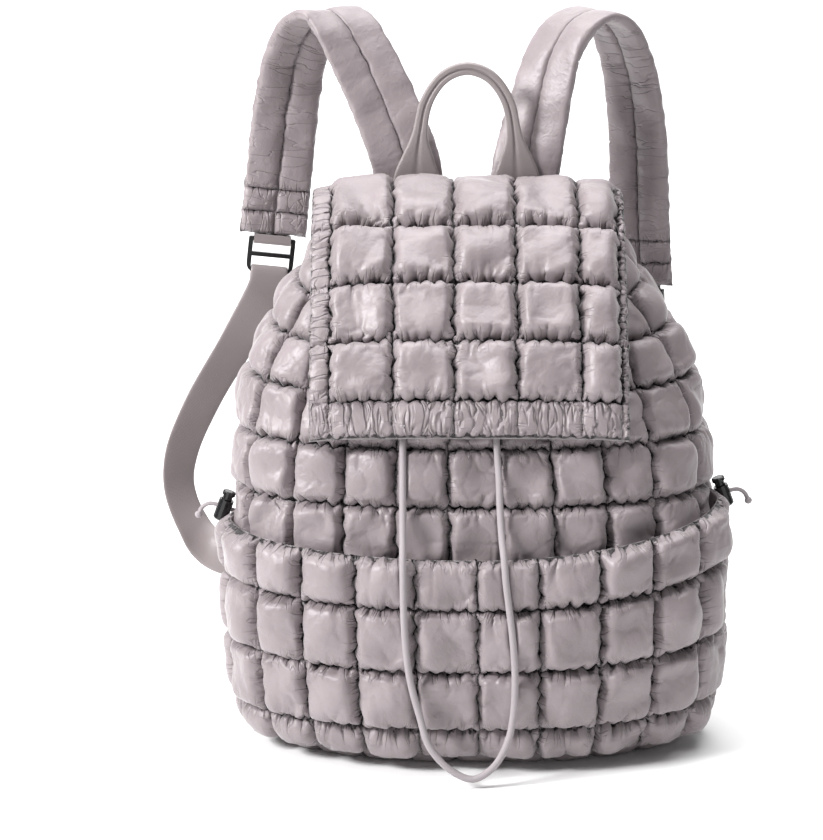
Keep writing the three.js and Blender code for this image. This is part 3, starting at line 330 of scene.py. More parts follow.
def over_the_top(x, behind, before):
    """The line up the bag's back, over its mouth and down its front, beside the middle by x."""
    points, room = [], []
    runs = [(np.arange(FLAP_START, MOUTH + 1e-6, 0.25), True), (np.arange(MOUTH, 3.99, -0.25), False)]
    for levels, behind_mouth in runs:
        back_up, front_up, half, back, front, _ = level_values(levels).T
        half, middle, depth = half * BODY_WIDTH / 2, (back + front) * BODY_DEPTH / 4, (back - front) * BODY_DEPTH / 4
        power = BACK_SQUARENESS if behind_mouth else FRONT_SQUARENESS
        deep = depth * (1 - np.minimum(abs(x) / half, 1) ** power) ** (1 / power)
        y = middle + (deep if behind_mouth else -deep)
        share = (back * BODY_DEPTH / 2 - y) / (2 * depth)
        z = (back_up + (front_up - back_up) * share) * BODY_HEIGHT
        points.append(np.stack([0 * y, y, z], -1))
        room.append(np.full(len(y), behind if behind_mouth else before))
    points, room = np.vstack(points), np.concatenate(room)
    ends = np.vstack([points[:1], points, points[-1:]])
    along = ends[2:] - ends[:-2]
    out = np.stack([0 * along[:, 0], along[:, 2], -along[:, 1]], -1)
    out /= np.linalg.norm(out, axis=1, keepdims=True)
    return points + out * room[:, None]


def flap_sheet(columns, rows, outwards):
    """Points of the flap in rows and columns, both shares of its size."""
    sheet = np.zeros((len(rows), len(columns), 3))
    whole = smooth_line(over_the_top(0, FLAP_SEAT, BODY_PUFF + FLAP_ROOM), 600)
    reach = FLAP_LENGTH / np.linalg.norm(np.diff(whole, axis=0), axis=1).sum()
    for k, column in enumerate(columns):
        x = FLAP_WIDTH * (column - 0.5)
        line = over_the_top(x * FLAP_FOLLOW, FLAP_SEAT + outwards, BODY_PUFF + FLAP_ROOM + outwards)
        sheet[:, k] = along_line(smooth_line(line, 600), rows * reach)
        sheet[:, k, 0] = x + lean(BODY_HEIGHT)
    return sheet


# Gathered and filled cloth

WAVES = 14


class Ripple:
    """A smooth random field over space: sums of waves of about the given length."""

    def __init__(self, seed, length):
        rng = np.random.default_rng(seed)
        way = rng.normal(size=(WAVES, 3))
        way /= np.linalg.norm(way, axis=1, keepdims=True)
        self.waves = way * (2 * np.pi / (length * rng.uniform(0.75, 1.4, (WAVES, 1))))
        self.phase = rng.uniform(0, 2 * np.pi, WAVES)

    def __call__(self, points):
        waves = np.sin(points @ self.waves.T + self.phase)
        return waves.sum(-1) * (2 / len(self.phase)) ** 0.5


SEAM_OUT, SEAM_ACROSS, SEAM_UP = Ripple(1, 6.5), Ripple(2, 9), Ripple(3, 7)
START_RIPPLE, FULL_RIPPLE, PLEAT_RIPPLE = Ripple(4, 9), Ripple(5, 55), Ripple(6, 5.5)
CREASES, TILT = Ripple(7, 13), Ripple(8, 24)
CORD_LINE = smooth_line(DRAWSTRING_ROUTE, 420)
CORD_CLEARANCE = DRAWSTRING / 2 + 0.6
NONE = np.zeros((1, 1))


def unit(v):
    return v / np.maximum(np.linalg.norm(v, axis=-1, keepdims=True), 1e-9)


def sheet_normals(p):
    return unit(np.cross(np.gradient(p, axis=1), np.gradient(p, axis=0)))


def pull(a, b, wa, wb, rest, stretch, push):
    """Moves two sets of points towards their rest distance, in place."""
    d = b - a
    length = np.sqrt(np.einsum("ijk,ijk->ij", d, d)) + 1e-6
    give = (length - rest) / length
    give *= np.where(give > 0, stretch, push) / (wa + wb + 1e-6)
    d *= give[..., None]
    a += d * wa[..., None]
    b -= d * wb[..., None]


def beside_less(p):
    """Each point's four neighbours' mean, less the point."""
    q = np.pad(p, ((1, 1), (1, 1), (0, 0)), mode="edge")
    return (q[:-2, 1:-1] + q[2:, 1:-1] + q[1:-1, :-2] + q[1:-1, 2:]) / 4 - p


def fill_out(start, out, free, across, up, ripple, loft, stray):
    """Fills a pinned sheet that has more cloth than room, up to its padding's thickness.

    across and up are the cloth's shares of the room between points, loft is the padding's thickness, and
    stray is how far each point may go sideways.
    """
    w = free.astype(np.float32)
    base, out = start.astype(np.float32), out.astype(np.float32)
    p = base + out * (w * (START_LIFT + ripple))[..., None].astype(np.float32)
    across = np.linalg.norm(np.diff(base, axis=1), axis=-1) * (across[:, 1:] + across[:, :-1]) / 2
    up = np.linalg.norm(np.diff(base, axis=0), axis=-1) * (up[1:] + up[:-1]) / 2
    slant = np.sqrt(across[1:] ** 2 / 2 + across[:-1] ** 2 / 2 + up[:, 1:] ** 2 / 2 + up[:, :-1] ** 2 / 2)
    across, up, slant, loft, stray = (a.astype(np.float32) for a in (across, up, slant, loft, stray))
    n, m = w.shape
    for _ in range(ROUNDS):
        p += sheet_normals(p).astype(np.float32) * (w * PRESSURE)[..., None]
        for _ in range(SWEEPS):
            for s in (0, 1):
                pull(p[:, s : m - 1 : 2], p[:, s + 1 : m : 2], w[:, s : m - 1 : 2], w[:, s + 1 : m : 2],
                     across[:, s::2], 1, SQUEEZE)  # fmt: skip
                pull(p[s : n - 1 : 2], p[s + 1 : n : 2], w[s : n - 1 : 2], w[s + 1 : n : 2], up[s::2], 1, SQUEEZE)
                one, two = slice(s, n - 1, 2), slice(s + 1, n, 2)
                pull(p[one, :-1], p[two, 1:], w[one, :-1], w[two, 1:], slant[s::2], SLANT_STRETCH, SLANT_SQUEEZE)
                pull(p[one, 1:], p[two, :-1], w[one, 1:], w[two, :-1], slant[s::2], SLANT_STRETCH, SLANT_SQUEEZE)
            p -= beside_less(beside_less(p)) * (w * BEND)[..., None]
        height = np.einsum("ijk,ijk->ij", p - base, out)
        aside = p - base - out * height[..., None]
        excess = 1 - stray / np.maximum(np.linalg.norm(aside, axis=-1), stray)
        p -= aside * (w * excess)[..., None]
        p += out * (w * (np.maximum(0, LEAST_LIFT - height) - SETTLING * np.maximum(0, height - loft)))[..., None]
    return p


def lines_between(seams, spacing, size):
    """Places from seam to seam about spacing apart, and which of them are seams. size is the whole run's."""
    places, on_seam = [], []
    for a, b in zip(seams[:-1], seams[1:]):
        count = max(4, round((b - a) * size / spacing))
        places.append(a + (b - a) * np.arange(count) / count)
        on_seam.append(np.arange(count) == 0)
    return np.append(np.concatenate(places), seams[-1]), np.append(np.concatenate(on_seam), True)


def off_seams(places, seams, size):
    """How far each place is from the nearest seam."""
    return np.abs(places[:, None] - places[seams][None, :]).min(1) * size


def quilt(
    base, columns, rows, size, full=FULLNESS, loft=LOFT, pleats=(ROW_PLEATS, COLUMN_PLEATS), sewn=None,
    extra=(NONE, NONE), wander=1.0,
):  # fmt: skip
    """A sheet that is sewn down along its seams, which wander, and filled between them.

    columns and rows are places with their seams, size their unit in millimetres, pleats the extra cloth
    along level and along upright seams, sewn a mask of its own for the seams, and extra more cloth.
    Gives the sheet and, for each of its points, how close it is to any seam, a level one and an upright
    one, up to 1, and its place in millimetres.
    """
    out = sheet_normals(base)
    right, up = unit(np.gradient(base, axis=1)), unit(np.gradient(base, axis=0))
    sewn = columns[1][None, :] | rows[1][:, None] if sewn is None else sewn
    uneven = FULL_RIPPLE(base)
    loose = 1 + full * (1 + 0.4 * uneven)
    from_row = off_seams(*rows, size[1])[:, None] + 0 * loose
    from_column = off_seams(*columns, size[0])[None, :] + 0 * loose
    upwards = ROW_WANDER * wander * SEAM_UP(base) * np.exp(-from_row / WANDER_REACH)
    sideways = COLUMN_WANDER * wander * SEAM_ACROSS(base) * np.exp(-from_column / WANDER_REACH)
    base = base + up * upwards[..., None] + right * sideways[..., None]
    seam = base - out * (wander * (SEAM_DEPTH - SEAM_RIPPLE * SEAM_OUT(base)))[..., None]
    start = np.where(sewn[..., None], seam, base)
    by_rows, by_columns = np.exp(-from_row / PLEAT_REACH), np.exp(-from_column / PLEAT_REACH)
    across, along = loose + pleats[0] * by_rows + extra[0], loose + pleats[1] * by_columns + extra[1]
    ruched = by_rows + (extra[0] > 0), by_columns + (extra[1] > 0)
    ripple = 0.7 * START_RIPPLE(base) + 0.9 * ruched[0] * PLEAT_RIPPLE(along_seams(base, up))
    ripple += 0.8 * ruched[1] * PLEAT_RIPPLE(along_seams(base, right))
    dome = np.sin(np.pi / 2 * np.clip(np.minimum(from_row, from_column) / SHOULDER, 0, 1)) ** DOME_POWER
    crease = ridge(along_seams(base, up)) * np.exp(-from_row / CREASE_REACH)
    crease += 0.7 * ridge(along_seams(base, right)) * np.exp(-from_column / CREASE_REACH)
    creased = CREASE_DEPTH * crease * loft / LOFT
    loft = loft * (SEAM_LOFT + (1 - SEAM_LOFT) * dome) * (1 + UNEVENNESS * uneven + TILTING * TILT(base)) - creased
    stray = LEAST_STRAY + SIDEWAYS * np.minimum(from_row, from_column)
    sheet = fill_out(start, out, ~sewn, across, along, ripple, loft, stray)
    # closeness to a seam: it sets where shade is painted into the nylon's colour
    close = np.exp(-nearest(sewn, size[0] * np.gradient(columns[0]).mean()) / SEAM_SHADE_REACH)
    # closeness to level and upright seams, for the folds' bumps and the shade painted in them
    gathered = [np.exp(-from_row / FOLD_REACH) + 4 * extra[0], 0.9 * np.exp(-from_column / FOLD_REACH) + 2.5 * extra[1]]
    places = [columns[0][None, :] * size[0] + 0 * close, rows[0][:, None] * size[1] + 0 * close]
    return sheet, np.stack([close, *np.clip(gathered, 0, 1), *places], -1)


def nearest(marked, step):
    """How far each point of a grid is from a marked one, up to a few steps."""
    far = np.where(marked, 0.0, 9 * step)
    for _ in range(3):
        for axis in (0, 1):
            for way in (1, -1):
                far = np.minimum(far, np.roll(far, way, axis) + step)
    return far


def ridge(points):
    """Narrow lines, 1 in their middle."""
    return np.clip(1 - np.abs(CREASES(points)) / CREASE_WIDTH, 0, 1)


def along_seams(base, way):
    """The points with their differences in one direction taken down, so that waves run long in it."""
    return base - 0.85 * way * (base * way).sum(-1, keepdims=True)


def clear_of_cord(sheet):
    """The sheet, pressed in where the drawstring hangs before it."""
    sheet = sheet.copy()
    flat = sheet.reshape(-1, 3)
    room = np.full(len(flat), -999.0)
    for point in CORD_LINE:
        near = np.hypot(flat[:, 0] - point[0], flat[:, 2] - point[2])
        bed = np.sqrt(np.maximum(CORD_CLEARANCE**2 - near**2, 0)) - np.maximum(near - CORD_CLEARANCE, 0) * 0.9
        room = np.maximum(room, point[1] + bed)
    front = flat[:, 1] < 20
    flat[:, 1] = np.where(front, np.maximum(flat[:, 1], room), flat[:, 1])
    return sheet


# Meshes

def grid_faces(n, m, first=0):
    k = (np.arange(n - 1)[:, None] * m + np.arange(m - 1)[None, :]).ravel() + first
    return np.stack([k, k + 1, k + m + 1, k + m], -1)


def make_mesh(name, vertices, faces, material, replaced=(), uv=None, marks=None):
    mesh = bpy.data.meshes.new(name)
    vertices = np.asarray(vertices, float).reshape(-1, 3) * MM
    mesh.vertices.add(len(vertices))
    mesh.vertices.foreach_set("co", vertices.ravel())
    mesh.loops.add(faces.size)
    mesh.loops.foreach_set("vertex_index", faces.ravel())
    mesh.polygons.add(len(faces))
    mesh.polygons.foreach_set("loop_start", np.arange(len(faces)) * faces.shape[1])
    mesh.polygons.foreach_set("use_smooth", np.ones(len(faces), bool))
    if marks is not None:
        uv = marks[..., 3:]
        for k, mark in enumerate(("seam", "level_folds", "upright_folds")):
            mesh.attributes.new(mark, "FLOAT", "POINT").data.foreach_set("value", marks[..., k].ravel())
    if uv is not None:
        layer = mesh.uv_layers.new(name="UVMap")
        layer.data.foreach_set("uv", np.asarray(uv).reshape(-1, 2)[faces.ravel()].ravel())
    mesh.update(calc_edges=True)
    mesh.validate()
    mesh.materials.append(material)
    made = bpy.data.objects.new(name, mesh)
    bpy.context.scene.collection.objects.link(made)
    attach(made, "bag")
    if replaced:
        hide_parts(*replaced)
    return made


def make_sheet(name, grid, material, replaced=(), marks=None):
    return make_mesh(name, grid, grid_faces(*grid.shape[:2]), material, replaced, marks=marks)


def make_shell(name, outer, inner, material, slot, replaced=(), uv=None, marks=None):
    """A closed sheet between two grids of the same size."""
    n, m = outer.shape[:2]
    grid = grid_faces(n, m)
    index = np.arange(n * m).reshape(n, m)
    ring = np.concatenate([index[0, :-1], index[:-1, -1], index[-1, :0:-1], index[:0:-1, 0]])
    then = np.roll(ring, -1)
    rim = np.stack([then, ring, ring + n * m, then + n * m], -1)
    faces = np.vstack([grid, grid[:, ::-1] + n * m, rim])
    both = np.stack([outer, inner])
    uv = None if uv is None else np.stack([uv, uv])
    return make_mesh(name, both, faces, material, replaced, uv, None if marks is None else np.stack(marks))


# Materials

def new_material(name):
    material = bpy.data.materials.new(name)
    material.use_nodes = True
    tree = material.node_tree
    return material, tree, tree.nodes["Principled BSDF"]


def link(tree, source, target):
    tree.links.new(source, target)


def noise(tree, scale, detail=3, distortion=0.0):
    coordinates = tree.nodes.new("ShaderNodeTexCoord")
    node = tree.nodes.new("ShaderNodeTexNoise")
    node.inputs["Scale"].default_value = scale
    node.inputs["Detail"].default_value = detail
    node.inputs["Distortion"].default_value = distortion
    link(tree, coordinates.outputs["Object"], node.inputs["Vector"])
    return node


def bump(tree, height, strength, distance, under=None):
    node = tree.nodes.new("ShaderNodeBump")
    node.inputs["Strength"].default_value = strength
    node.inputs["Distance"].default_value = distance
    link(tree, height, node.inputs["Height"])
    if under is not None:
        link(tree, under.outputs["Normal"], node.inputs["Normal"])
    return node


def value(tree, operation, first, second, clamped=False):
    """A sum or the like of two outputs or numbers."""
    node = tree.nodes.new("ShaderNodeMath")
    node.operation, node.use_clamp = operation, clamped
    for socket, given in zip(node.inputs, (first, second)):
        if isinstance(given, (int, float)):
            socket.default_value = given
        else:
            link(tree, given, socket)
    return node.outputs[0]


def folds(tree, mark, scale):
    """Short folds that run out from the seams and thin out with the mark beside them; the mask sets their bumps and the
    shade painted in them.
    """
    coordinates, mapping = tree.nodes.new("ShaderNodeTexCoord"), tree.nodes.new("ShaderNodeMapping")
    mapping.inputs["Scale"].default_value = (*scale, 1)
    link(tree, coordinates.outputs["UV"], mapping.inputs["Vector"])
    texture = tree.nodes.new("ShaderNodeTexNoise")
    texture.inputs["Scale"].default_value = 1
    texture.inputs["Detail"].default_value = 2
    link(tree, mapping.outputs["Vector"], texture.inputs["Vector"])
    attribute = tree.nodes.new("ShaderNodeAttribute")
    attribute.attribute_name = mark
    from_line = value(tree, "ABSOLUTE", value(tree, "SUBTRACT", texture.outputs["Fac"], 0.5), 0)
    room = value(tree, "SUBTRACT", attribute.outputs["Fac"], FOLD_START)
    return value(tree, "SUBTRACT", room, value(tree, "MULTIPLY", from_line, FOLD_NARROWING), True)


def nylon(name, dark, light, roughness):
    """Satin nylon: painted shadow as dark jagged lines in its seams, painted shade fading out beside them, short folds
    beside them as bumps with shade painted in them, a fine weave and a slight sheen.
    """
    material, tree, shader = new_material(name)
    shader.inputs["Roughness"].default_value = roughness
    shader.inputs["Sheen Weight"].default_value = 0.3
    shader.inputs["Sheen Roughness"].default_value = 0.4
    shader.inputs["Specular IOR Level"].default_value = 0.55
    mottle = noise(tree, 35, 4)
    ramp = tree.nodes.new("ShaderNodeValToRGB")
    ramp.color_ramp.elements[0].color = (*dark, 1)
    ramp.color_ramp.elements[1].color = (*light, 1)
    ramp.color_ramp.elements[0].position = 0.35
    ramp.color_ramp.elements[1].position = 0.65
    link(tree, mottle.outputs["Fac"], ramp.inputs["Fac"])
    seam = tree.nodes.new("ShaderNodeAttribute")
    seam.attribute_name = "seam"
    shade = tree.nodes.new("ShaderNodeMix")
    shade.data_type = "RGBA"
    level, upright = folds(tree, "level_folds", (0.14, 0.03)), folds(tree, "upright_folds", (0.03, 0.12))
    folded = value(tree, "MAXIMUM", level, upright)
    jagged = value(tree, "MULTIPLY", noise(tree, 260, 1).outputs["Fac"], JAGGEDNESS)
    jagged = value(tree, "ADD", jagged, 1 - JAGGEDNESS / 2)
    # painted shadow in the seams: a dark line where their valleys lie in shade, jagged by a noise
    within = value(tree, "SUBTRACT", value(tree, "MULTIPLY", seam.outputs["Fac"], jagged), LINE_START)
    painted_seam_shadow = value(tree, "MULTIPLY", within, LINE_EDGE, True)
    # painted shade fading out from each seam, and painted shade in the short folds beside it
    groove = value(tree, "MULTIPLY", seam.outputs["Fac"], GROOVE_SHADE)
    beside = value(tree, "ADD", value(tree, "MULTIPLY", folded, FOLD_SHADE), groove)
    link(tree, value(tree, "ADD", painted_seam_shadow, beside, True), shade.inputs["Factor"])
    link(tree, ramp.outputs["Color"], shade.inputs[6])
    # the colour of the painted seam shadow and shade
    shade.inputs[7].default_value = SEAM_SHADE
    link(tree, shade.outputs[2], shader.inputs["Base Color"])
    pleats = bump(tree, value(tree, "SUBTRACT", 1, folded), 1, 0.0015)
    creases = bump(tree, noise(tree, 230, 3, 0.8).outputs["Fac"], 0.5, 0.0008, pleats)
    weave = bump(tree, noise(tree, 2600, 1).outputs["Fac"], 0.12, 0.0002, creases)
    link(tree, weave.outputs["Normal"], shader.inputs["Normal"])
    return material


def ribbed(name, colour, roughness):
    """Webbing: fine ribs across its length, laid out by its UV map, and a weave."""
    material, tree, shader = new_material(name)
    shader.inputs["Base Color"].default_value = (*colour, 1)
    shader.inputs["Roughness"].default_value = roughness
    shader.inputs["Sheen Weight"].default_value = 0.2
    uv = tree.nodes.new("ShaderNodeTexCoord")
    wave = tree.nodes.new("ShaderNodeTexWave")
    wave.wave_type, wave.bands_direction = "BANDS", "Y"
    wave.inputs["Scale"].default_value = 0.35
    wave.inputs["Distortion"].default_value = 0.3
    link(tree, uv.outputs["UV"], wave.inputs["Vector"])
    ribs = bump(tree, wave.outputs["Fac"], 0.2, 0.0003)
    weave = bump(tree, noise(tree, 1300, 2).outputs["Fac"], 0.5, 0.0004, ribs)
    link(tree, weave.outputs["Normal"], shader.inputs["Normal"])
    return material


def plain(name, colour, roughness, grain=0.0):
    material, tree, shader = new_material(name)
    shader.inputs["Base Color"].default_value = (*colour, 1)
    shader.inputs["Roughness"].default_value = roughness
    if grain:
        rough = bump(tree, noise(tree, 900, 2).outputs["Fac"], grain, 0.0004)
        link(tree, rough.outputs["Normal"], shader.inputs["Normal"])
    return material


NYLON = nylon("quilted nylon", (0.205, 0.172, 0.18), (0.25, 0.212, 0.222), 0.45)
LINING = plain("lining", (0.2, 0.17, 0.178), 0.7)
WEBBING = ribbed("webbing", (0.22, 0.188, 0.19), 0.32)
PLASTIC = plain("glossy plastic", (0.006, 0.006, 0.007), 0.22)
CORD = plain("cord", (0.3, 0.27, 0.283), 0.75, 0.5)
drawstring.data.materials.append(CORD)


# The quilted pieces

def body_panel(name, first, last, bottom, top, spacing):
    columns = lines_between(np.arange(first, last + 0.1), spacing, CELL)
    levels = lines_between(np.arange(bottom, top + 0.1), spacing, CELL)
    base = wall(columns[0][None, :], levels[0][:, None])
    puff = np.clip(np.interp(levels[0], np.arange(MOUTH + 1) + 0.5, LEVELS[:, 5]), 0.3, 1)[:, None]
    sheet, marks = quilt(base, columns, levels, (CELL, CELL), FULLNESS * puff, LOFT * puff)
    sheet[..., 2] = np.maximum(sheet[..., 2], 0.3)
    return make_sheet(name, clear_of_cord(sheet), NYLON, ["body_wall"], marks)


body = [
    body_panel("body_back", -POCKET_FIRST, POCKET_FIRST, 0, MOUTH, BACK_SPACING),
    body_panel("body_front", POCKET_FIRST, POCKET_LAST, HIDDEN_LEVEL, NECK_LEVEL, FRONT_SPACING),
    body_panel("body_neck", POCKET_FIRST, POCKET_LAST, NECK_LEVEL, MOUTH, NECK_SPACING),
    body_panel("body_foot", POCKET_FIRST, POCKET_LAST, 0, HIDDEN_LEVEL, FOOT_SPACING),
]
lining_columns, lining_levels = np.arange(0, COLUMNS + 0.1, 0.5), np.arange(0, MOUTH + 0.1, 0.5)
lining = wall(
    lining_columns[None, :], lining_levels[:, None], np.full((len(lining_levels), len(lining_columns)), -LINING_DEPTH)
)
body.append(make_sheet("body_lining", lining[:, ::-1], LINING, ["body_wall"]))


def make_pocket():
    columns = lines_between(POCKET_SEAMS, POCKET_SPACING, CELL)
    rows = lines_between(POCKET_ROWS, POCKET_SPACING, POCKET_SPAN)
    c, r = columns[0][None, :], rows[0][:, None]
    sheet, marks = quilt(pocket(c, r, CLOTH), columns, rows, (CELL, POCKET_SPAN), wander=np.where(r == 1, 0.3, 1))
    inside = pocket(c, r, -2 * np.clip(4 * np.minimum(r, 1 - r), 0, 1) + 0 * c)
    return make_shell(
        "pocket_quilt", clear_of_cord(sheet), inside, NYLON, "quilted_nylon", ["front_pocket"],
        marks=(marks, 0 * marks),
    )  # fmt: skip


def make_flap():
    columns = lines_between(FLAP_COLUMNS, FLAP_SPACING, FLAP_WIDTH)
    places, seams = lines_between(FLAP_ROWS, FLAP_SPACING, FLAP_LENGTH)
    tail = np.linspace(0.02, FLAP_ROWS[0], 16)[:-1]
    rows = np.concatenate([tail, places])[::-1], np.concatenate([np.ones(15, bool), seams])[::-1]
    c, r = columns[0][None, :], rows[0][:, None]
    base = flap_sheet(columns[0], rows[0], FLAP_CLOTH)
    hem, strip = r > FLAP_ROWS[-2], (c < FLAP_COLUMNS[1]) | (c > FLAP_COLUMNS[-2])
    edge = (r == 1) | (c == 0) | (c == 1)
    sewn = edge | (columns[1][None, :] & ~hem) | (rows[1][:, None] & (~strip | (r <= FLAP_ROWS[0])))
    first = np.clip((r - FLAP_ROWS[0]) / 0.12, 0.5, 1)
    loft = LOFT * first * np.where(strip, 0.22, np.where(hem, 0.36, 1))
    extra = 0.2 * hem, 0.1 * (strip & (r > FLAP_ROWS[0]))
    sheet, marks = quilt(
        base, columns, rows, (FLAP_WIDTH, FLAP_LENGTH), FULLNESS * first, loft, sewn=sewn, extra=extra,
        wander=np.where(edge | hem | strip | (r <= FLAP_ROWS[0]), 0.35, 1),
    )  # fmt: skip
    # no painted seam shade, and no folds with their painted shade, before the flap's first row
    marks[..., :3] *= (r > FLAP_ROWS[0] - 0.01)[..., None]
    deep = 2 * np.clip((r - FLAP_ROWS[0]) / 0.1, 0, 1) * ~(hem | strip)
    inside = flap_sheet(columns[0], rows[0], 0) - sheet_normals(base) * deep[..., None]
    return make_shell("flap_quilt", sheet, inside, NYLON, "quilted_nylon", ["flap"], marks=(marks, 0 * marks))


soft = [*body, make_pocket(), make_flap()]


# Straps, webbing and handle

def direction(turn, lift=0.0):
    turn, lift = math.radians(turn), math.radians(lift)
    return np.array([math.cos(turn) * math.cos(lift), math.sin(turn) * math.cos(lift), math.sin(lift)])


def band(stations, step, width, thickness):
    """A band's line, width direction and face direction, with its width and thickness, every step."""
    rough = smooth_line(stations, 400)
    length = np.linalg.norm(np.diff(rough[:, :3], axis=0), axis=1).sum()
    line = along_line(rough, np.linspace(0, 1, round(length / step) + 1))
    centre, along = line[:, :3], unit(np.gradient(line[:, :3], axis=0))
    across = line[:, 3:6]
    across = unit(across - along * (across * along).sum(1, keepdims=True))
    wide, thick = (line[:, 6:7], line[:, 7:8]) if line.shape[1] > 6 else (1, 1)
    return centre, across, np.cross(along, across), wide * width / 2, thick * thickness / 2, length


def band_grid(centre, across, face, half, thick, u, side):
    return centre[:, None] + (across * half)[:, None] * u[None, :, None] + (face * thick)[:, None] * side[..., None]


def strap_stations(side, table, spread):
    x = side * STRAP_SPACING / 2 + lean(BODY_HEIGHT)
    top = wall(0, MOUTH, STRAP_LAYER)
    tab = [[x, *wall(0, level, STRAP_LAYER)[1:], *direction(0), 1, 0.5] for level in TAB_LEVELS]
    free = [
        [x + side * out * spread, top[1] + back * STRAP_REACH, top[2] + up * STRAP_RISE, *direction(-side * turn), 1, 1]
        for out, back, up, turn in table
    ]
    free[0][7], free[-1][7] = 0.5, 0.7
    return tab + free


def make_strap(name, side, table, spread):
    centre, across, face, half, thick, length = band(
        strap_stations(side, table, spread), STRAP_STEP, STRAP_WIDTH, STRAP_THICKNESS
    )
    columns = lines_between([-1, 0, 1], STRAP_POINTS, STRAP_WIDTH / 2)
    places = np.linspace(0, 1, len(centre))
    across_it = np.zeros(len(centre), bool)
    across_it[[0, -1, *(-1 - round(back / STRAP_STEP) for back in STRAP_END_SEAMS)]] = True
    rows = places, across_it
    sides, marks = [], []
    for way, pleat in ((-1, 0.01), (1, 0.2)):
        u = columns[0]
        lift = np.full((len(centre), len(u)), way * 0.34)
        base = band_grid(centre, across, face, half, thick, u, lift)
        turned = base if way < 0 else base[:, ::-1]
        full, marked = quilt(
            turned, columns, rows, (STRAP_WIDTH / 2, length), 0.02, 0 * lift + (2 if way < 0 else 3), (0.02, pleat),
            wander=0.3,
        )  # fmt: skip
        # weaker painted seam shade on the straps, weakest at their edges; the upright folds, bumps and painted shade,
        # on one face only
        marked[..., 0] *= np.where(np.abs(u) > 0.8, 0.3, 0.6)
        marked[..., 2] = 0 if way < 0 else 0.45
        sides.append(full if way < 0 else full[:, ::-1])
        marks.append(marked if way < 0 else marked[:, ::-1])
    return make_shell(f"strap_{name}", *sides, NYLON, "quilted_nylon", [f"shoulder_strap_{name}"], marks=marks)


def webbing_stations(side, stations, table, spread):
    before, end = np.array(stations[-2][:3]), np.array(stations[-1][:3])
    down = unit(end - before)
    across = np.array(stations[-1][3:6])
    across = unit(across - down * (across @ down))
    face = np.cross(down, across)
    clear = BUCKLE_GAP + WEBBING_THICKNESS / 2
    out, edge, middle = BUCKLE_THICKNESS / 2 + clear, LOWER_BAR - clear, LOWER_BAR + BUCKLE_BAR / 2
    fold = [(-out, LOWER_BAR + WEBBING_TAIL), (-out, middle), (0, edge), (out, middle), (out, LOWER_BAR + 7)]
    folded = [[*(end + face * o + down * d), *across] for o, d in fold]
    x = side * STRAP_SPACING / 2 + lean(BODY_HEIGHT)
    column = ANCHOR_TURN if side < 0 else COLUMNS - ANCHOR_TURN
    offset = BODY_PUFF + WEBBING_THICKNESS
    anchor = wall(column, ANCHOR_LEVEL, offset)
    beside = wall(column + side * 0.55, ANCHOR_LEVEL + 0.12, offset + 1.5)
    start, top = wall(0, MOUTH, STRAP_LAYER), (end + down * LOWER_BAR)[2]
    free = [
        [x + side * o * spread, start[1] + back * STRAP_REACH, top + (anchor[2] - top) * fall,
         *direction(-side * turn, lift)]
        for o, back, fall, turn, lift in table
    ]  # fmt: skip
    return [*folded, *free, [*beside, 0, 0, 1], [*anchor, 0, 0, 1]]


def make_band(name, stations, width, thickness, replaced, groove=0.0):
    centre, across, face, half, thick, length = band(stations, 1.5, width, thickness)
    u = np.linspace(-1, 1, 33)
    section = (1 - np.abs(u) ** 8) ** 0.5 * 0.9 + 0.1 - groove * np.exp(-((u / 0.16) ** 2))
    shape = np.broadcast_to(section, (len(centre), len(u)))
    outer = band_grid(centre, across, face, half, thick, u, -shape)
    inner = band_grid(centre, across, face, half, thick, u, shape)
    along = np.broadcast_to(np.linspace(0, length, len(centre))[:, None], shape.shape)
    uv = np.stack([np.broadcast_to(u * width / 2, shape.shape), along], -1)
    return make_shell(name, outer, inner, WEBBING, "webbing", replaced, uv)


def handle_stations():
    top, half = wall(0, MOUTH, HANDLE_LAYER), HANDLE_SPAN / 2
    side = [(half, *wall(0, level, HANDLE_LAYER)[1:], 1, 1) for level in TAB_LEVELS]
    side += [(half * a, top[1], top[2] + up * HANDLE_RISE, wide, thick) for a, up, wide, thick in HANDLE]
    whole = [(-x, *rest) for x, *rest in side] + side[-2::-1]
    points = np.array([row[:3] for row in whole])
    along = unit(np.gradient(points, axis=0))
    across = np.cross(along, unit(np.array([0, 1, 0.12])))
    return [[x + lean(BODY_HEIGHT), y, z, *a, w, t] for (x, y, z, w, t), a in zip(whole, across)]


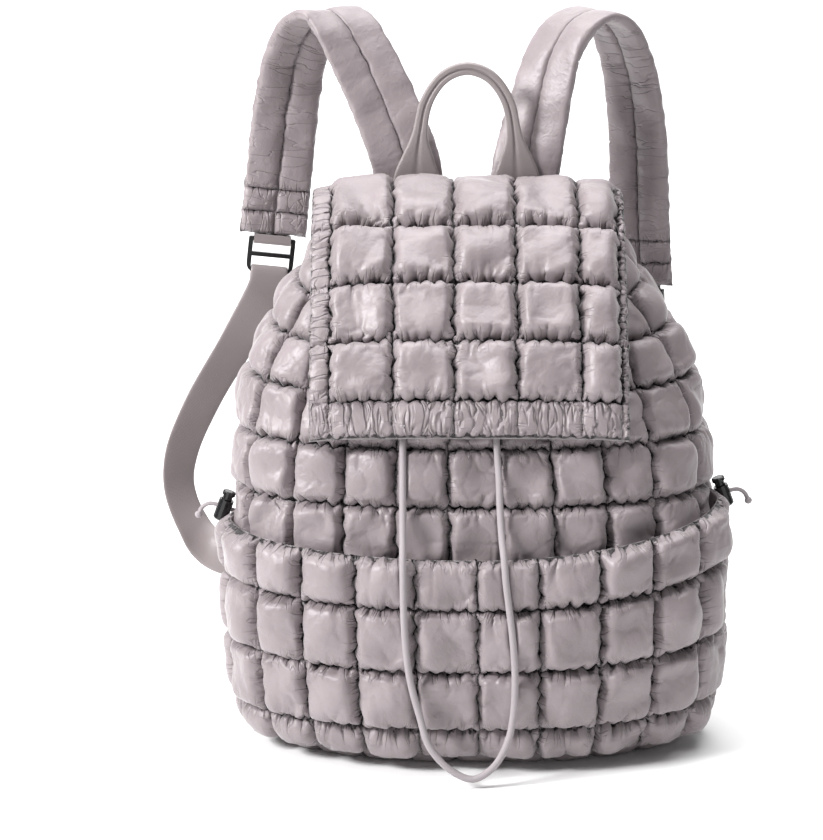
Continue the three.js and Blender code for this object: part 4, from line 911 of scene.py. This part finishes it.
for name, (side, table, spread, lower) in SIDES.items():
    soft.append(make_strap(name, side, table, spread))
    stations = strap_stations(side, table, spread)
    make_band(
        f"webbing_{name}_band", webbing_stations(side, stations, lower, spread), WEBBING_WIDTH, WEBBING_THICKNESS,
        [f"webbing_{name}"],
    )  # fmt: skip
make_band("handle_band", handle_stations(), HANDLE_WIDTH, HANDLE_THICKNESS, ["handle"], 0.45)

for node in nodes.values():
    node.data.materials.clear()
    if node.name.startswith(("buckle_left", "buckle_right", "lock_")):
        node.data.materials.append(PLASTIC)
    elif node.name.startswith(("yoke", "base")):
        node.data.materials.append(NYLON)
    else:
        node.data.materials.append(CORD if "cord" in node.name else WEBBING)


# Stage and light

def area_light(name, place, aim, power, size):
    data = bpy.data.lights.new(name, "AREA")
    data.energy, data.size = power, size
    lamp = bpy.data.objects.new(name, data)
    lamp.location = place
    lamp.rotation_euler = (Vector(aim) - Vector(place)).to_track_quat("-Z", "Y").to_euler()
    bpy.context.scene.collection.objects.link(lamp)


def make_stage():
    floor_material = plain("floor", (0.95, 0.95, 0.95), 0.8)
    bend, turn = 1.6, np.radians(np.arange(0, 91, 6))
    profile = [(-4, 0), *zip(1.4 + bend * np.sin(turn), bend - bend * np.cos(turn)), (3, 5)]
    points = [(x, y, z) for y, z in profile for x in (-5, 5)]
    faces = [(2 * k, 2 * k + 1, 2 * k + 3, 2 * k + 2) for k in range(len(profile) - 1)]
    mesh = bpy.data.meshes.new("floor")
    mesh.from_pydata(points, [], faces)
    mesh.polygons.foreach_set("use_smooth", [True] * len(faces))
    mesh.materials.append(floor_material)
    floor = bpy.data.objects.new("floor", mesh)
    bpy.context.scene.collection.objects.link(floor)
    world = bpy.data.worlds.new("world")
    world.use_nodes = True
    world.node_tree.nodes["Background"].inputs["Color"].default_value = (1, 1, 1, 1)
    world.node_tree.nodes["Background"].inputs["Strength"].default_value = 0.16
    bpy.context.scene.world = world
    area_light("key", (-1.9, -0.95, 1.5), (0, 0, 0.2), 92, 0.7)
    area_light("fill", (0.6, -2.2, 0.9), (0, 0, 0.2), 1.5, 1.4)
    area_light("back", (0, 0.6, 2.4), (0, 1.4, 0.4), 110, 2.4)
    bpy.context.scene.view_settings.view_transform = "Standard"


make_stage()
